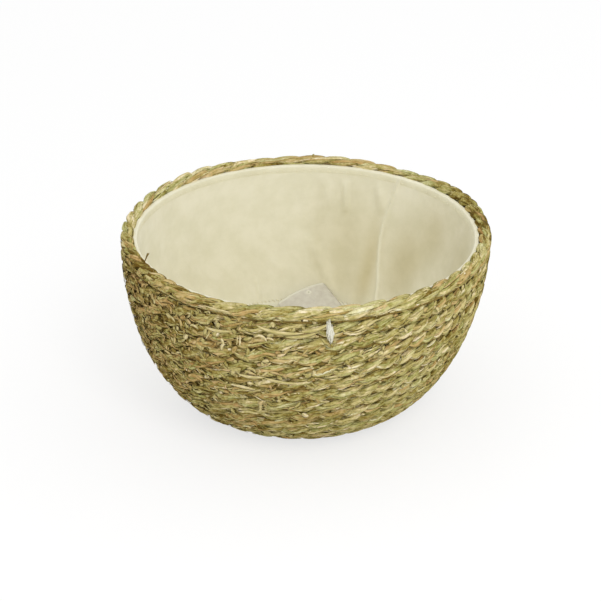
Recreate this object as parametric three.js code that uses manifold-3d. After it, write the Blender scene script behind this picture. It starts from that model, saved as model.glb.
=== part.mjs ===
// Round bowl basket: one water hyacinth rope coiled and sewn row on row, a cotton lining, a card tag.
// Millimetres, +Z up. The origin is on the ground, under the middle of the rim.

import * as THREE from 'three';
import { mergeVertices } from 'three/addons/utils/BufferGeometryUtils.js';
import Module from 'manifold-3d';

// Bowl, measured outside
const rimDiameter = 250;
const bowlHeight = 125.6;
const baseDiameter = 124.4;
// Exponent of the wall's swell. 1 makes the wall a quarter ellipse.
const wallFullness = 1.1;
// The hand-made wall leans, so the base's middle lies this far along X from the rim's.
const baseLean = -3.4;

// Rope
const ropeDiameter = 10;
const rowGap = 0.5;
const firstTurnRadius = 6.5;
// Share of the rope's width that is flat, towards the inside and the outside of the bowl.
const ropeFlatShare = 0.54;
// The rope climbs to its next row over this angle, behind the basket. Elsewhere a row is level.
const climbStartAngle = 30;
const climbAngle = 120;
// Depth that the basket's own weight flattens off the rope under the base.
const standFlat = ropeDiameter / 10;
// Half width at which the tapered end of the rope is sewn down.
const ropeEndHalfWidth = 1.2;

// Thread that sews the rows together, in the groove on the inside
const rowThreadRadius = 0.6;
const rowThreadDepth = 2.2;

// Lining
const clothThickness = 1;
const seatGap = 0.3;
const baseClothRadius = 95.5;
const liningRise = 0.5;
const seamAngle = 55;
const seamThreadRadius = 0.4;
const clothStep = 12;
const hemWidth = 8;
const hemThickness = 0.8;
const hemThreadDrop = 4;

// Card tag, lying in the bowl with its upper corner on the back wall
const tagWidth = 40;
const tagHeight = 52;
const tagThickness = 0.7;
const tagCornerRadius = 1.5;
const tagHoleDiameter = 4;
const tagHoleDrop = 6;
const tagSlope = 22;
const tagRoll = 31;
const tagCornerX = 13;

// Every round piece has its corners at the same angles, so that their flat facets stay parallel.
const stepsPerTurn = 24;
const stepAngle = 360 / stepsPerTurn;
const wallSamples = 1000;
const seatingHalvings = 40;

const colours = {
  rope: '#958654',
  rowThread: '#b9ab7e',
  cloth: '#d3cdad',
  hem: '#ddd8bb',
  clothThread: '#e4dfc6',
  card: '#c3bea9',
};

// Middle line of the rope wall in the half plane of radius and height:
// flat out to the base's edge, then r = base + swell * sin^fullness(a), z = floor + rise * (1 - cos a).
const ropeRadius = ropeDiameter / 2;
const baseRadius = baseDiameter / 2;
const floorHeight = ropeRadius - standFlat;
const wallSwell = rimDiameter / 2 - ropeRadius - baseRadius;
const wallRise = bowlHeight - ropeRadius - floorHeight;

function wallPoint(angle) {
  const radius = baseRadius + wallSwell * Math.sin(angle) ** wallFullness;
  const height = floorHeight + wallRise * (1 - Math.cos(angle));
  return new THREE.Vector2(radius, height);
}

const wallLine = [];
const wallLength = [0];
for (let i = 0; i <= wallSamples; i += 1) {
  wallLine.push(wallPoint((i / wallSamples) * (Math.PI / 2)));
  if (i > 0) {
    wallLength.push(wallLength[i - 1] + wallLine[i].distanceTo(wallLine[i - 1]));
  }
}
const rimArc = baseRadius + wallLength[wallSamples];

// Point and outward direction of the middle line, at a length measured along it from the axis.
function middleLine(arc) {
  if (arc <= baseRadius) {
    return { point: new THREE.Vector2(arc, floorHeight), along: new THREE.Vector2(1, 0) };
  }
  const length = arc - baseRadius;
  let i = wallLength.findIndex((sample) => sample >= length);
  if (i < 1) {
    i = wallSamples;
  }
  const along = wallLine[i].clone().sub(wallLine[i - 1]).normalize();
  const point = wallLine[i].clone().addScaledVector(along, length - wallLength[i]);
  return { point, along };
}

// A point of the section: arc along the middle line, extra along its tangent, depth towards the inside.
function sectionPoint(arc, extra, depth) {
  const { point, along } = middleLine(arc);
  const inward = new THREE.Vector2(-along.y, along.x);
  return point.addScaledVector(along, extra).addScaledVector(inward, depth);
}

// Nothing at the middle of the rim row, the whole lean at the ground.
function leanShift(height) {
  return baseLean * (1 - height / (bowlHeight - ropeRadius));
}

// The share of the radius that a flat facet reaches at an angle between two corners.
function facetShare(angle) {
  const half = THREE.MathUtils.degToRad(stepAngle / 2);
  const within = THREE.MathUtils.euclideanModulo(angle, stepAngle);
  return Math.cos(half) / Math.cos(THREE.MathUtils.degToRad(within) - half);
}

function turned(flat, angle) {
  const radius = flat.x * facetShare(angle);
  const turn = THREE.MathUtils.degToRad(angle);
  const x = radius * Math.cos(turn) + leanShift(flat.y);
  return new THREE.Vector3(x, radius * Math.sin(turn), flat.y);
}

// Closed tube through rings of points. A ring runs anticlockwise, seen with radius to the right.
function tube(rings, closed = false) {
  const sides = rings[0].length;
  const positions = rings.flat().flatMap((p) => [p.x, p.y, p.z]);
  const faces = [];
  const spans = closed ? rings.length : rings.length - 1;
  for (let i = 0; i < spans; i += 1) {
    for (let j = 0; j < sides; j += 1) {
      const a = i * sides + j;
      const b = i * sides + ((j + 1) % sides);
      const c = ((i + 1) % rings.length) * sides + j;
      const d = ((i + 1) % rings.length) * sides + ((j + 1) % sides);
      faces.push(a, c, b, b, c, d);
    }
  }
  if (!closed) {
    const last = (rings.length - 1) * sides;
    for (const [a, b, c] of capTriangles(sides)) {
      faces.push(a, b, c, last + a, last + c, last + b);
    }
  }
  const geometry = new THREE.BufferGeometry();
  geometry.setAttribute('position', new THREE.Float32BufferAttribute(positions, 3));
  geometry.setIndex(faces);
  return geometry;
}

// Triangles of a ring's cap, zigzag between its two sides, so that a thin curved strip closes too.
function capTriangles(sides) {
  const triangles = [];
  let low = 0;
  let high = sides - 1;
  while (high - low > 1) {
    triangles.push([low, low + 1, high]);
    low += 1;
    if (high - low > 1) {
      triangles.push([low, high - 1, high]);
      high -= 1;
    }
  }
  return triangles;
}

const wasm = await Module();
wasm.setup();

function toSolid(geometry) {
  const bare = new THREE.BufferGeometry();
  bare.setAttribute('position', geometry.getAttribute('position'));
  bare.setIndex(geometry.getIndex());
  const merged = mergeVertices(bare);
  return new wasm.Manifold(new wasm.Mesh({
    numProp: 3,
    vertProperties: new Float32Array(merged.getAttribute('position').array),
    triVerts: new Uint32Array(merged.getIndex().array),
  }));
}

// Cuts off what lies below the ground, so that the basket stands on flats.
function cutAtGround(geometry) {
  const side = rimDiameter * 2;
  const ground = new THREE.BoxGeometry(side, side, side).translate(0, 0, -side / 2);
  const mesh = toSolid(geometry).subtract(toSolid(ground)).getMesh();
  const cut = new THREE.BufferGeometry();
  cut.setAttribute('position', new THREE.Float32BufferAttribute(mesh.vertProperties, 3));
  cut.setIndex([...mesh.triVerts]);
  return cut;
}

// Rows of the coil. The rope packs a little, so that a whole number of rows fills the wall.
const lastRow = Math.round((rimArc - firstTurnRadius) / (ropeDiameter + rowGap));
const rowPitch = (rimArc - firstTurnRadius) / lastRow;
const ropeHalfWidth = (rowPitch - rowGap) / 2;
const coilStartAngle = climbStartAngle + climbAngle;

// How far a turn has climbed to the next row, from 0 to 1, at a share of the turn.
function climbed(share) {
  const level = 1 - climbAngle / 360;
  if (share <= level) {
    return 0;
  }
  return (1 - Math.cos((Math.PI * (share - level)) / (1 - level))) / 2;
}

function rowArc(step) {
  const turn = Math.floor(step / stepsPerTurn);
  return firstTurnRadius + rowPitch * (turn + climbed((step % stepsPerTurn) / stepsPerTurn));
}

function stepToAngle(step) {
  return coilStartAngle + step * stepAngle;
}

function ropeRing(step, arc, halfWidth) {
  const scale = halfWidth / ropeHalfWidth;
  const shoulder = halfWidth * ropeFlatShare;
  const half = ropeRadius * scale;
  const corners = [
    [halfWidth, 0], [shoulder, half], [-shoulder, half],
    [-halfWidth, 0], [-shoulder, -half], [shoulder, -half],
  ];
  return corners.map(([extra, depth]) => turned(sectionPoint(arc, extra, depth), stepToAngle(step)));
}

// One unbroken rope from the middle of the base to the rim. Its last turn keeps the rim's top level
// and tapers away while the row under it climbs.
function coilRings() {
  const rings = [];
  for (let step = 0; step < lastRow * stepsPerTurn; step += 1) {
    rings.push(ropeRing(step, rowArc(step), ropeHalfWidth));
  }
  for (let step = lastRow * stepsPerTurn; ; step += 1) {
    const below = rowArc(step - stepsPerTurn) + ropeHalfWidth + rowGap;
    const top = rimArc + ropeHalfWidth;
    const halfWidth = (top - below) / 2;
    if (halfWidth < ropeEndHalfWidth) {
      return rings;
    }
    rings.push(ropeRing(step, (top + below) / 2, halfWidth));
  }
}

// Least distance between points on one turn of the rope and on the turns next to it.
function leastGap(rings) {
  const edgeShares = [0, 0.25, 0.5, 0.75];
  const pointsOfStep = rings.slice(0, -1).map((ring, i) => ring.flatMap((corner, j) => {
    const next = rings[i + 1][j];
    const beside = ring[(j + 1) % ring.length];
    const towards = (other) => edgeShares.map((share) => corner.clone().lerp(other, share));
    return [...towards(next), ...towards(beside)];
  }));
  let least = Infinity;
  for (let i = stepsPerTurn; i < pointsOfStep.length; i += 1) {
    for (let k = i - stepsPerTurn - 1; k <= i - stepsPerTurn + 1; k += 1) {
      for (const p of pointsOfStep[i]) {
        for (const q of pointsOfStep[Math.max(k, 0)]) {
          least = Math.min(least, p.distanceTo(q));
        }
      }
    }
  }
  return least;
}

// Thread in the groove between each row and the next, a three-sided tube with one corner down.
function rowThreadRings() {
  const steps = (lastRow - 1) * stepsPerTurn + Math.floor(stepsPerTurn * (1 - climbAngle / 360));
  const rings = [];
  for (let step = 1; step <= steps; step += 1) {
    const groove = rowArc(step) + rowPitch / 2;
    rings.push(threadRing(groove, rowThreadDepth, rowThreadRadius, stepToAngle(step)));
  }
  return rings;
}

function threadRing(arc, depth, radius, angle) {
  return [270, 30, 150].map((corner) => {
    const turn = THREE.MathUtils.degToRad(corner);
    return turned(sectionPoint(arc, radius * Math.cos(turn), depth + radius * Math.sin(turn)), angle);
  });
}

function anglesAround() {
  return Array.from({ length: stepsPerTurn }, (_, i) => i * stepAngle);
}

function threadHoop(arc, depth) {
  return tube(anglesAround().map((angle) => threadRing(arc, depth, seamThreadRadius, angle)), true);
}

// Depths of the lining's faces from the rope's middle line, towards the inside.
const clothBack = ropeRadius + seatGap;
const clothFace = clothBack + clothThickness;
const hemBack = clothFace + seatGap;
const hemFace = hemBack + hemThickness;
const seamThreadDepth = clothFace + seatGap + seamThreadRadius;
const hemThreadDepth = hemFace + seatGap + seamThreadRadius;
const liningTopArc = rimArc + liningRise;
const hemBottomArc = liningTopArc - hemWidth;
const wallClothArc = baseClothRadius + seatGap / 2;
const baseClothArc = baseClothRadius - seatGap / 2;
const seamHalfAngle = THREE.MathUtils.radToDeg(seatGap / 2 / baseRadius);

// Even steps from one arc to another, both included.
function arcSteps(from, to) {
  const count = Math.max(1, Math.round((to - from) / clothStep));
  return Array.from({ length: count + 1 }, (_, i) => from + ((to - from) * i) / count);
}

// Section of a cloth strip: its back from low to high, then its face from high to low.
function stripSection(arcs, back, face) {
  const outer = arcs.map((arc) => sectionPoint(arc, 0, back));
  const inner = arcs.map((arc) => sectionPoint(arc, 0, face));
  return [...outer, ...inner.reverse()];
}

const baseClothArcs = [0, ...arcSteps(baseRadius, baseClothArc)];
const wallClothArcs = arcSteps(wallClothArc, liningTopArc);

function liningBase() {
  const section = stripSection(baseClothArcs, clothBack, clothFace);
  const geometry = new THREE.LatheGeometry(section, stepsPerTurn).rotateX(Math.PI / 2);
  const position = geometry.getAttribute('position');
  for (let i = 0; i < position.count; i += 1) {
    position.setX(i, position.getX(i) + leanShift(position.getZ(i)));
  }
  return geometry;
}

// One cloth strip all round, open by a slit where its two ends are sewn together.
function liningWall() {
  const section = stripSection(wallClothArcs, clothBack, clothFace);
  const start = seamAngle + seamHalfAngle;
  const end = seamAngle + 360 - seamHalfAngle;
  const angles = [start];
  let corner = (Math.floor(start / stepAngle) + 1) * stepAngle;
  while (corner < end) {
    angles.push(corner);
    corner += stepAngle;
  }
  angles.push(end);
  return tube(angles.map((angle) => section.map((flat) => turned(flat, angle))));
}

function hemTape() {
  const section = stripSection([hemBottomArc, liningTopArc], hemBack, hemFace);
  return tube(anglesAround().map((angle) => section.map((flat) => turned(flat, angle))), true);
}

// Thread over the lining's upright seam, from the base's seam to the hem.
function seamThread() {
  const clearance = seamThreadRadius * 2 + seatGap;
  const arcs = arcSteps(wallClothArc + clearance, hemBottomArc - seatGap);
  const rings = arcs.map((arc) => [240, 120, 0].map((corner) => {
    const turn = THREE.MathUtils.degToRad(corner - 90);
    const flat = sectionPoint(arc, 0, seamThreadDepth + seamThreadRadius * Math.sin(turn));
    const point = turned(flat, seamAngle);
    const around = THREE.MathUtils.degToRad(seamAngle + 90);
    const aside = seamThreadRadius * Math.cos(turn);
    return point.add(new THREE.Vector3(Math.cos(around) * aside, Math.sin(around) * aside, 0));
  }));
  return tube(rings);
}

// Distance of a point from the lining's face, less than nothing outside it.
function liningClearance(point) {
  const x = point.x - leanShift(point.z);
  const angle = THREE.MathUtils.radToDeg(Math.atan2(point.y, x));
  const flat = new THREE.Vector2(Math.hypot(x, point.y) / facetShare(angle), point.z);
  const face = [...baseClothArcs, ...wallClothArcs].map((arc) => sectionPoint(arc, 0, clothFace));
  let least = Infinity;
  for (let i = 1; i < face.length; i += 1) {
    const span = face[i].clone().sub(face[i - 1]);
    const offset = flat.clone().sub(face[i - 1]);
    const share = THREE.MathUtils.clamp(offset.dot(span) / span.lengthSq(), 0, 1);
    const distance = offset.clone().addScaledVector(span, -share).length();
    if (distance < Math.abs(least)) {
      least = distance * Math.sign(span.cross(offset));
    }
  }
  return least;
}

// Greatest move between 0 and reach that keeps a point the seat gap clear of the lining.
function moveUntilSeated(pointAt, reach) {
  let low = 0;
  let high = reach;
  for (let i = 0; i < seatingHalvings; i += 1) {
    const middle = (low + high) / 2;
    if (liningClearance(pointAt(middle)) > seatGap) {
      low = middle;
    } else {
      high = middle;
    }
  }
  return low;
}

function tagShape() {
  const r = tagCornerRadius;
  const shape = new THREE.Shape();
  shape.absarc(tagWidth - r, tagHeight - r, r, 0, Math.PI / 2);
  shape.absarc(r, tagHeight - r, r, Math.PI / 2, Math.PI);
  shape.absarc(r, r, r, Math.PI, Math.PI * 1.5);
  shape.absarc(tagWidth - r, r, r, Math.PI * 1.5, Math.PI * 2);
  const hole = new THREE.Path();
  hole.absarc(tagWidth / 2, tagHeight - tagHoleDrop, tagHoleDiameter / 2, 0, Math.PI * 2);
  shape.holes.push(hole);
  return shape;
}

function tagSolid() {
  const options = { depth: tagThickness, bevelEnabled: false, curveSegments: 3 };
  return new THREE.ExtrudeGeometry(tagShape(), options);
}

// The tag's lower left corner stands on the base, and its upper right corner leans on the wall.
function placeTag(mesh) {
  const slope = new THREE.Quaternion().setFromAxisAngle(
    new THREE.Vector3(1, 0, 0),
    THREE.MathUtils.degToRad(tagSlope),
  );
  const roll = new THREE.Quaternion().setFromAxisAngle(
    new THREE.Vector3(0, 0, 1),
    THREE.MathUtils.degToRad(tagRoll),
  );
  mesh.quaternion.copy(slope.multiply(roll));
  const toUpperRight = new THREE.Vector3(tagWidth, tagHeight, 0).applyQuaternion(mesh.quaternion);
  const lift = bowlHeight;
  const start = new THREE.Vector3(tagCornerX - toUpperRight.x, 0, lift);
  const drop = moveUntilSeated((move) => start.clone().add(new THREE.Vector3(0, 0, -move)), lift);
  start.z -= drop;
  const corner = start.clone().add(toUpperRight);
  corner.y = 0;
  const reach = rimDiameter / 2;
  const push = moveUntilSeated((move) => corner.clone().add(new THREE.Vector3(0, move, 0)), reach);
  mesh.position.set(start.x, push - toUpperRight.y, start.z);
}

const basket = new THREE.Group();

function addPiece(name, geometry, colour, roughness) {
  const material = new THREE.MeshStandardMaterial({ color: colour, roughness, metalness: 0 });
  const mesh = new THREE.Mesh(geometry, material);
  mesh.name = name;
  basket.add(mesh);
  return mesh;
}

const coil = coilRings();
console.log(`coil_rope: ${lastRow + 1} rows, ${rowPitch.toFixed(3)} mm apart`);
console.log(`coil_rope: least gap to itself ${leastGap(coil).toFixed(2)} mm`);

addPiece('coil_rope', cutAtGround(tube(coil)), colours.rope, 0.85);
addPiece('row_stitch_thread', tube(rowThreadRings()), colours.rowThread, 0.8);
addPiece('lining_base', liningBase(), colours.cloth, 0.95);
addPiece('lining_wall', liningWall(), colours.cloth, 0.95);
addPiece('lining_base_thread', threadHoop(baseClothRadius, seamThreadDepth), colours.clothThread, 0.8);
addPiece('lining_seam_thread', seamThread(), colours.clothThread, 0.8);
addPiece('hem_tape', hemTape(), colours.hem, 0.9);
addPiece('hem_thread', threadHoop(liningTopArc - hemThreadDrop, hemThreadDepth), colours.clothThread, 0.8);
placeTag(addPiece('card_tag', tagSolid(), colours.card, 0.6));

export default basket;
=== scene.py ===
"""Looks of a round bowl basket: a coil of two-ply water hyacinth rope, a sewn cotton lining, a card tag.

Shapes are worked out in millimetres, as in the part, and turned to metres when a mesh is made. A place on
the bowl is given by its arc, the length along the wall's section from the axis, by its azimuth,
anticlockwise from above with the camera at 270 degrees, and by its depth from the rope's middle line
towards the inside.
"""

import math

import bpy
import numpy as np
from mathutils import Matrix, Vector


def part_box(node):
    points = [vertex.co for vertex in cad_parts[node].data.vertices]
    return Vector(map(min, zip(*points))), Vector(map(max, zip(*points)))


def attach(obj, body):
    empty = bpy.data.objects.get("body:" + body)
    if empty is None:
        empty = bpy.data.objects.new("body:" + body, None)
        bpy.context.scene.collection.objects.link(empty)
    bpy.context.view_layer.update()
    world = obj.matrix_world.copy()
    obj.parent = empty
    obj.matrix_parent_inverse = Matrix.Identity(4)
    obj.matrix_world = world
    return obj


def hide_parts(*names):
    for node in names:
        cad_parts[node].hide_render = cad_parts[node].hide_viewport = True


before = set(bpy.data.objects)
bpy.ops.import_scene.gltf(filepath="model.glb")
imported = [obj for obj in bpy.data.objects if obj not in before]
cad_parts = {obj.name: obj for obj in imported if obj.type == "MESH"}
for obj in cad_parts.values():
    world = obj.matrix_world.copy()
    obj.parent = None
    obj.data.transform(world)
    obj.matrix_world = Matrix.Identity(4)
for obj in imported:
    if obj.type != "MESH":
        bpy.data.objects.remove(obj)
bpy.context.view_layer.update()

# Bowl and rope, as in the part
RIM_DIAMETER = 250.0
BOWL_HEIGHT = 125.6
BASE_DIAMETER = 124.4
WALL_FULLNESS = 1.1
BASE_LEAN = -3.4
ROPE_DIAMETER = 10.0
ROPE_RADIUS = ROPE_DIAMETER / 2
STAND_FLAT = ROPE_DIAMETER / 10
ROW_GAP = 0.5
FIRST_TURN_RADIUS = 6.5
CLIMB_START_ANGLE = 30.0
CLIMB_ANGLE = 120.0

# Lining and tag, as in the part
SEAT_GAP = 0.3
CLOTH_THICKNESS = 1.0
CLOTH_BACK = ROPE_RADIUS + SEAT_GAP
CLOTH_FACE = CLOTH_BACK + CLOTH_THICKNESS
BASE_CLOTH_ARC = 95.5
LINING_RISE = 0.5
HEM_WIDTH = 8.0
HEM_THREAD_DROP = 4.0
# Where the wall cloth's upright seam runs, which strays a little: azimuth at each arc
SEAM_ARCS = (96.0, 116.0, 129.0, 142.0, 152.0, 161.0, 174.0, 189.0, 202.0)
SEAM_AZIMUTHS = (51.4, 54.2, 56.2, 57.5, 58.0, 57.8, 56.6, 54.6, 53.0)
SEAM_THREAD_RADIUS = 0.4
ROW_THREAD_RADIUS = 0.6
ROW_THREAD_DEPTH = 2.2
TAG_WIDTH = 40.0
TAG_HEIGHT = 52.0
TAG_THICKNESS = 0.7
TAG_CORNER_RADIUS = 1.5
TAG_HOLE_RADIUS = 0.6
TAG_HOLE_ACROSS = 24.0
TAG_HOLE_DROP = 5.0
TAG_SLOPE = 22.0
TAG_ROLL = 31.0

# Camera, fitted to the rim's ellipse and the outline in the photograph
CAMERA_PLACE = (-0.00364, -0.93886, 0.55476)
CAMERA_TILT = 62.578
CAMERA_LENS = 91.845
CAMERA_SENSOR = 36.0
CAMERA_CLIP = (0.01, 50.0)

# Twist of the rope. Both plies rise to the right, seen from outside.
PLY_OFFSET = 2.4
PLY_RADIUS = 2.6
LAY_MEAN = 37.0
LAY_SWING = 6.0
LAY_RIM = 38.0
LAY_RIGHT = 13.0
LAY_RIM_SHORT = 17.0
# Sides of the bowl, as the azimuth of the middle and the spread in degrees: where the rope is twisted hard,
# where it is unruly, where it is older, and where the rim at the right has its short lay
RIGHT_SIDE = (325.0, 38.0)
UNRULY_SIDE = (225.0, 45.0)
OLD_SIDE = (212.0, 34.0)
SHORT_LAY_SIDE = (14.0, 26.0)
# Shares of the way to the hard twist's lay on the wall and on the rim, and to the short lay on the rim
RIGHT_LAY_WALL = 0.9
RIGHT_LAY_RIM = 0.25
SHORT_LAY_OLD = 0.9
SHORT_LAY_RIGHT = 0.75
RIM_LAY_LEAD = 0.1
LAY_WAVES = (610.0, 433.0, 270.0)
COUNTER_TWIST = 0.2
RIM_MERGE = 0.12
STRETCH_UP = 0.5
STRETCH_IN = 0.3
END_HALF_WIDTH = 1.7
END_AZIMUTH = 140.0
END_TAPER = 9.0
# Where the rope is squeezed, its thickness is its share of the height to this power
THIN_POWER = 0.25
CENTRE_WANDER = 0.35
RISE_WAVES = (71.0, 113.0, 47.0)
SINK_WAVES = (83.0, 131.0, 53.0)
# Stems are laid by a share of plain length and a share that goes with the twist
WIND_PLAIN = 0.4
WIND_TWISTED = 0.6

# Flattened stems that make up a ply
STEMS_ROUND_PLY = 11
STEM_LENGTHS = (22.0, 66.0)
STEM_OVERLAP = 7.0
STEM_HALF_WIDTHS = (0.6, 1.5)
STEM_HALF_THICKNESS = (0.18, 0.35)
STEM_STATIONS = 17
STEM_PIECES = 9
# Points of a stem's section: across, from edge to edge, and up from its middle
STEM_SECTION = np.array([(1.0, 0.0), (0.45, 0.85), (-0.45, 0.85), (-1.0, 0.0), (0.0, -0.7)])

SEED = 7
rng = np.random.default_rng(SEED)

MM = 0.001


# Camera

def add_camera():
    camera = bpy.data.objects.new("camera", bpy.data.cameras.new("camera"))
    bpy.context.scene.collection.objects.link(camera)
    camera.location = CAMERA_PLACE
    camera.rotation_euler = (math.radians(CAMERA_TILT), 0.0, 0.0)
    camera.data.lens = CAMERA_LENS
    camera.data.sensor_width = CAMERA_SENSOR
    camera.data.clip_start, camera.data.clip_end = CAMERA_CLIP
    bpy.context.scene.camera = camera


add_camera()


# Bowl

BASE_RADIUS = BASE_DIAMETER / 2
FLOOR_HEIGHT = ROPE_RADIUS - STAND_FLAT
WALL_SWELL = RIM_DIAMETER / 2 - ROPE_RADIUS - BASE_RADIUS
WALL_RISE = BOWL_HEIGHT - ROPE_RADIUS - FLOOR_HEIGHT
LINE_SAMPLES = 1001


def middle_line():
    """Section of the rope wall's middle line as arc, radius, height and unit direction.

    It is flat out to the base's edge. Beyond it, radius = base + swell * sin(a) ** fullness and
    height = floor + rise * (1 - cos a), with a from 0 to 90 degrees.
    """
    a = np.linspace(0, np.pi / 2, LINE_SAMPLES)
    radius = np.append(0.0, BASE_RADIUS + WALL_SWELL * np.sin(a) ** WALL_FULLNESS)
    height = np.append(FLOOR_HEIGHT, FLOOR_HEIGHT + WALL_RISE * (1 - np.cos(a)))
    arc = np.append(0.0, np.cumsum(np.hypot(np.diff(radius), np.diff(height))))
    along_r = np.gradient(radius, arc)
    along_z = np.gradient(height, arc)
    size = np.hypot(along_r, along_z)
    return arc, radius, height, along_r / size, along_z / size


LINE_ARC, LINE_RADIUS, LINE_HEIGHT, ALONG_R, ALONG_Z = middle_line()
RIM_ARC = LINE_ARC[-1]


def bowl_points(arc, extra, depth, azimuth):
    """Points in space: the middle line at arc, plus extra along it, plus depth inwards, turned by azimuth.

    The whole lean, BASE_LEAN along X, is at the ground, and none at the middle of the rim row.
    """
    along_r = np.interp(arc, LINE_ARC, ALONG_R)
    along_z = np.interp(arc, LINE_ARC, ALONG_Z)
    radius = np.interp(arc, LINE_ARC, LINE_RADIUS) + along_r * extra - along_z * depth
    height = np.interp(arc, LINE_ARC, LINE_HEIGHT) + along_z * extra + along_r * depth
    lean = BASE_LEAN * (1 - height / (BOWL_HEIGHT - ROPE_RADIUS))
    return np.stack(np.broadcast_arrays(
        radius * np.cos(azimuth) + lean, radius * np.sin(azimuth), height), axis=-1)


# Meshes

def make_mesh(name, points, faces, uv=None, **values):
    """Mesh of a grid of points in millimetres and arrays of faces, one array for each number of corners.

    The two parts of uv and each other value are spread over the points' grid. The faces are turned round
    together where the volume that they enclose comes out negative.
    """
    grid = points.shape[:-1]
    points = points.reshape(-1, 3) * MM
    volume = 0.0
    for face in faces:
        for k in range(1, face.shape[1] - 1):
            a, b, c = points[face[:, 0]], points[face[:, k]], points[face[:, k + 1]]
            volume += (a * np.cross(b, c)).sum()
    if volume < 0:
        faces = [face[:, ::-1] for face in faces]
    corners = np.concatenate([face.ravel() for face in faces]).astype(np.int32)
    sizes = np.concatenate([np.full(len(face), face.shape[1]) for face in faces])
    starts = np.append(0, np.cumsum(sizes)[:-1]).astype(np.int32)
    mesh = bpy.data.meshes.new(name)
    mesh.vertices.add(len(points))
    mesh.vertices.foreach_set("co", points.astype(np.float32).ravel())
    mesh.loops.add(len(corners))
    mesh.loops.foreach_set("vertex_index", corners)
    mesh.polygons.add(len(starts))
    mesh.polygons.foreach_set("loop_start", starts)
    mesh.update(calc_edges=True)
    mesh.polygons.foreach_set("use_smooth", np.ones(len(starts), bool))
    if uv is not None:
        places = np.stack([np.broadcast_to(part, grid).ravel() for part in uv], axis=-1)
        layer = mesh.uv_layers.new(name="surface")
        layer.uv.foreach_set("vector", places[corners].astype(np.float32).ravel())
    for key, value in values.items():
        attribute = mesh.attributes.new(key, "FLOAT", "POINT")
        attribute.data.foreach_set("value", np.broadcast_to(value, grid).astype(np.float32).ravel())
    return mesh


def tube_faces(points):
    """Quads of tubes and the caps on their ends. Their points are a grid of tubes by stations by sides."""
    count, stations, sides = points.shape[:3]
    first = np.arange(count)[:, None, None] * stations * sides
    row = np.arange(stations - 1)[None, :, None] * sides
    side = np.arange(sides)[None, None, :]
    beside = (side + 1) % sides
    here = first + row
    quads = np.stack([here + side, here + beside, here + sides + beside, here + sides + side], axis=-1)
    start = first[:, 0] + np.arange(sides)
    end = start + (stations - 1) * sides
    return [quads.reshape(-1, 4), np.concatenate([start[:, ::-1], end])]


def hoop_faces(points):
    """Quads of one tube that closes on itself. Its points are a grid of stations by sides."""
    stations, sides = points.shape[:2]
    row = np.arange(stations)[:, None] * sides
    after = (np.arange(stations)[:, None] + 1) % stations * sides
    side = np.arange(sides)[None, :]
    beside = (side + 1) % sides
    quads = np.stack([row + side, row + beside, after + beside, after + side], axis=-1)
    return [quads.reshape(-1, 4)]


def add_piece(mesh, material, node):
    """Puts a finished mesh in place of a CAD node, on the basket's one body, under the mesh's own name."""
    piece = bpy.data.objects.new(mesh.name, mesh)
    bpy.context.scene.collection.objects.link(piece)
    piece.data.materials.append(material)
    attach(piece, "root")
    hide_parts(node)
    return piece


# Materials

def linear(colour):
    """Linear RGBA of an sRGB hex colour."""
    values = [int(colour[i:i + 2], 16) / 255 for i in (1, 3, 5)]
    return (*[v / 12.92 if v <= 0.04045 else ((v + 0.055) / 1.055) ** 2.4 for v in values], 1.0)


def add_node(tree, kind, inputs=None, stops=(), **settings):
    """One node, with its settings, its inputs set to values or linked to sockets, and a ramp's stops."""
    node = tree.nodes.new(kind)
    for key, value in settings.items():
        setattr(node, key, value)
    for key, value in (inputs or {}).items():
        if isinstance(value, bpy.types.NodeSocket):
            tree.links.new(value, node.inputs[key])
        else:
            node.inputs[key].default_value = value
    if stops:
        elements = node.color_ramp.elements
        while len(elements) < len(stops):
            elements.new(0.5)
        for element, (place, colour) in zip(elements, stops):
            element.position = place
            element.color = linear(colour)
    return node


def new_material(name):
    material = bpy.data.materials.new(name)
    material.use_nodes = True
    material.node_tree.nodes.clear()
    return material, material.node_tree


# Tones of the dried stems, from the oldest and darkest to the bleached ones
STEM_TONES = [
    (0.00, "#634d19"), (0.15, "#7d692e"), (0.32, "#97894a"), (0.46, "#aca163"),
    (0.62, "#bfb279"), (0.78, "#d0c18f"), (0.90, "#dfd0a5"), (1.00, "#e9dcbb"),
]
STEM_TAN = "#c8aa74"
STEM_RUST = "#ad8750"
STEM_FRESH = "#eefdf7"
# Colour of the painted shade where a stem lies sunk, also mixed in towards its edges
STEM_SHADE = "#6f561a"
# Weight of the ribs against the blotches, of both against the stem's own tone, and what takes their mean away
RIB_WEIGHT = 0.42
STREAK_WEIGHT = 0.95
STREAK_MIDDLE = -0.67
TAN_STRENGTH = 1.5
# Shares of the shade colour: painted shade where a stem lies sunk, and a darkening at its very edge
SUNK_SHADE = 0.11
EDGE_SHADE = 0.20


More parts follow.
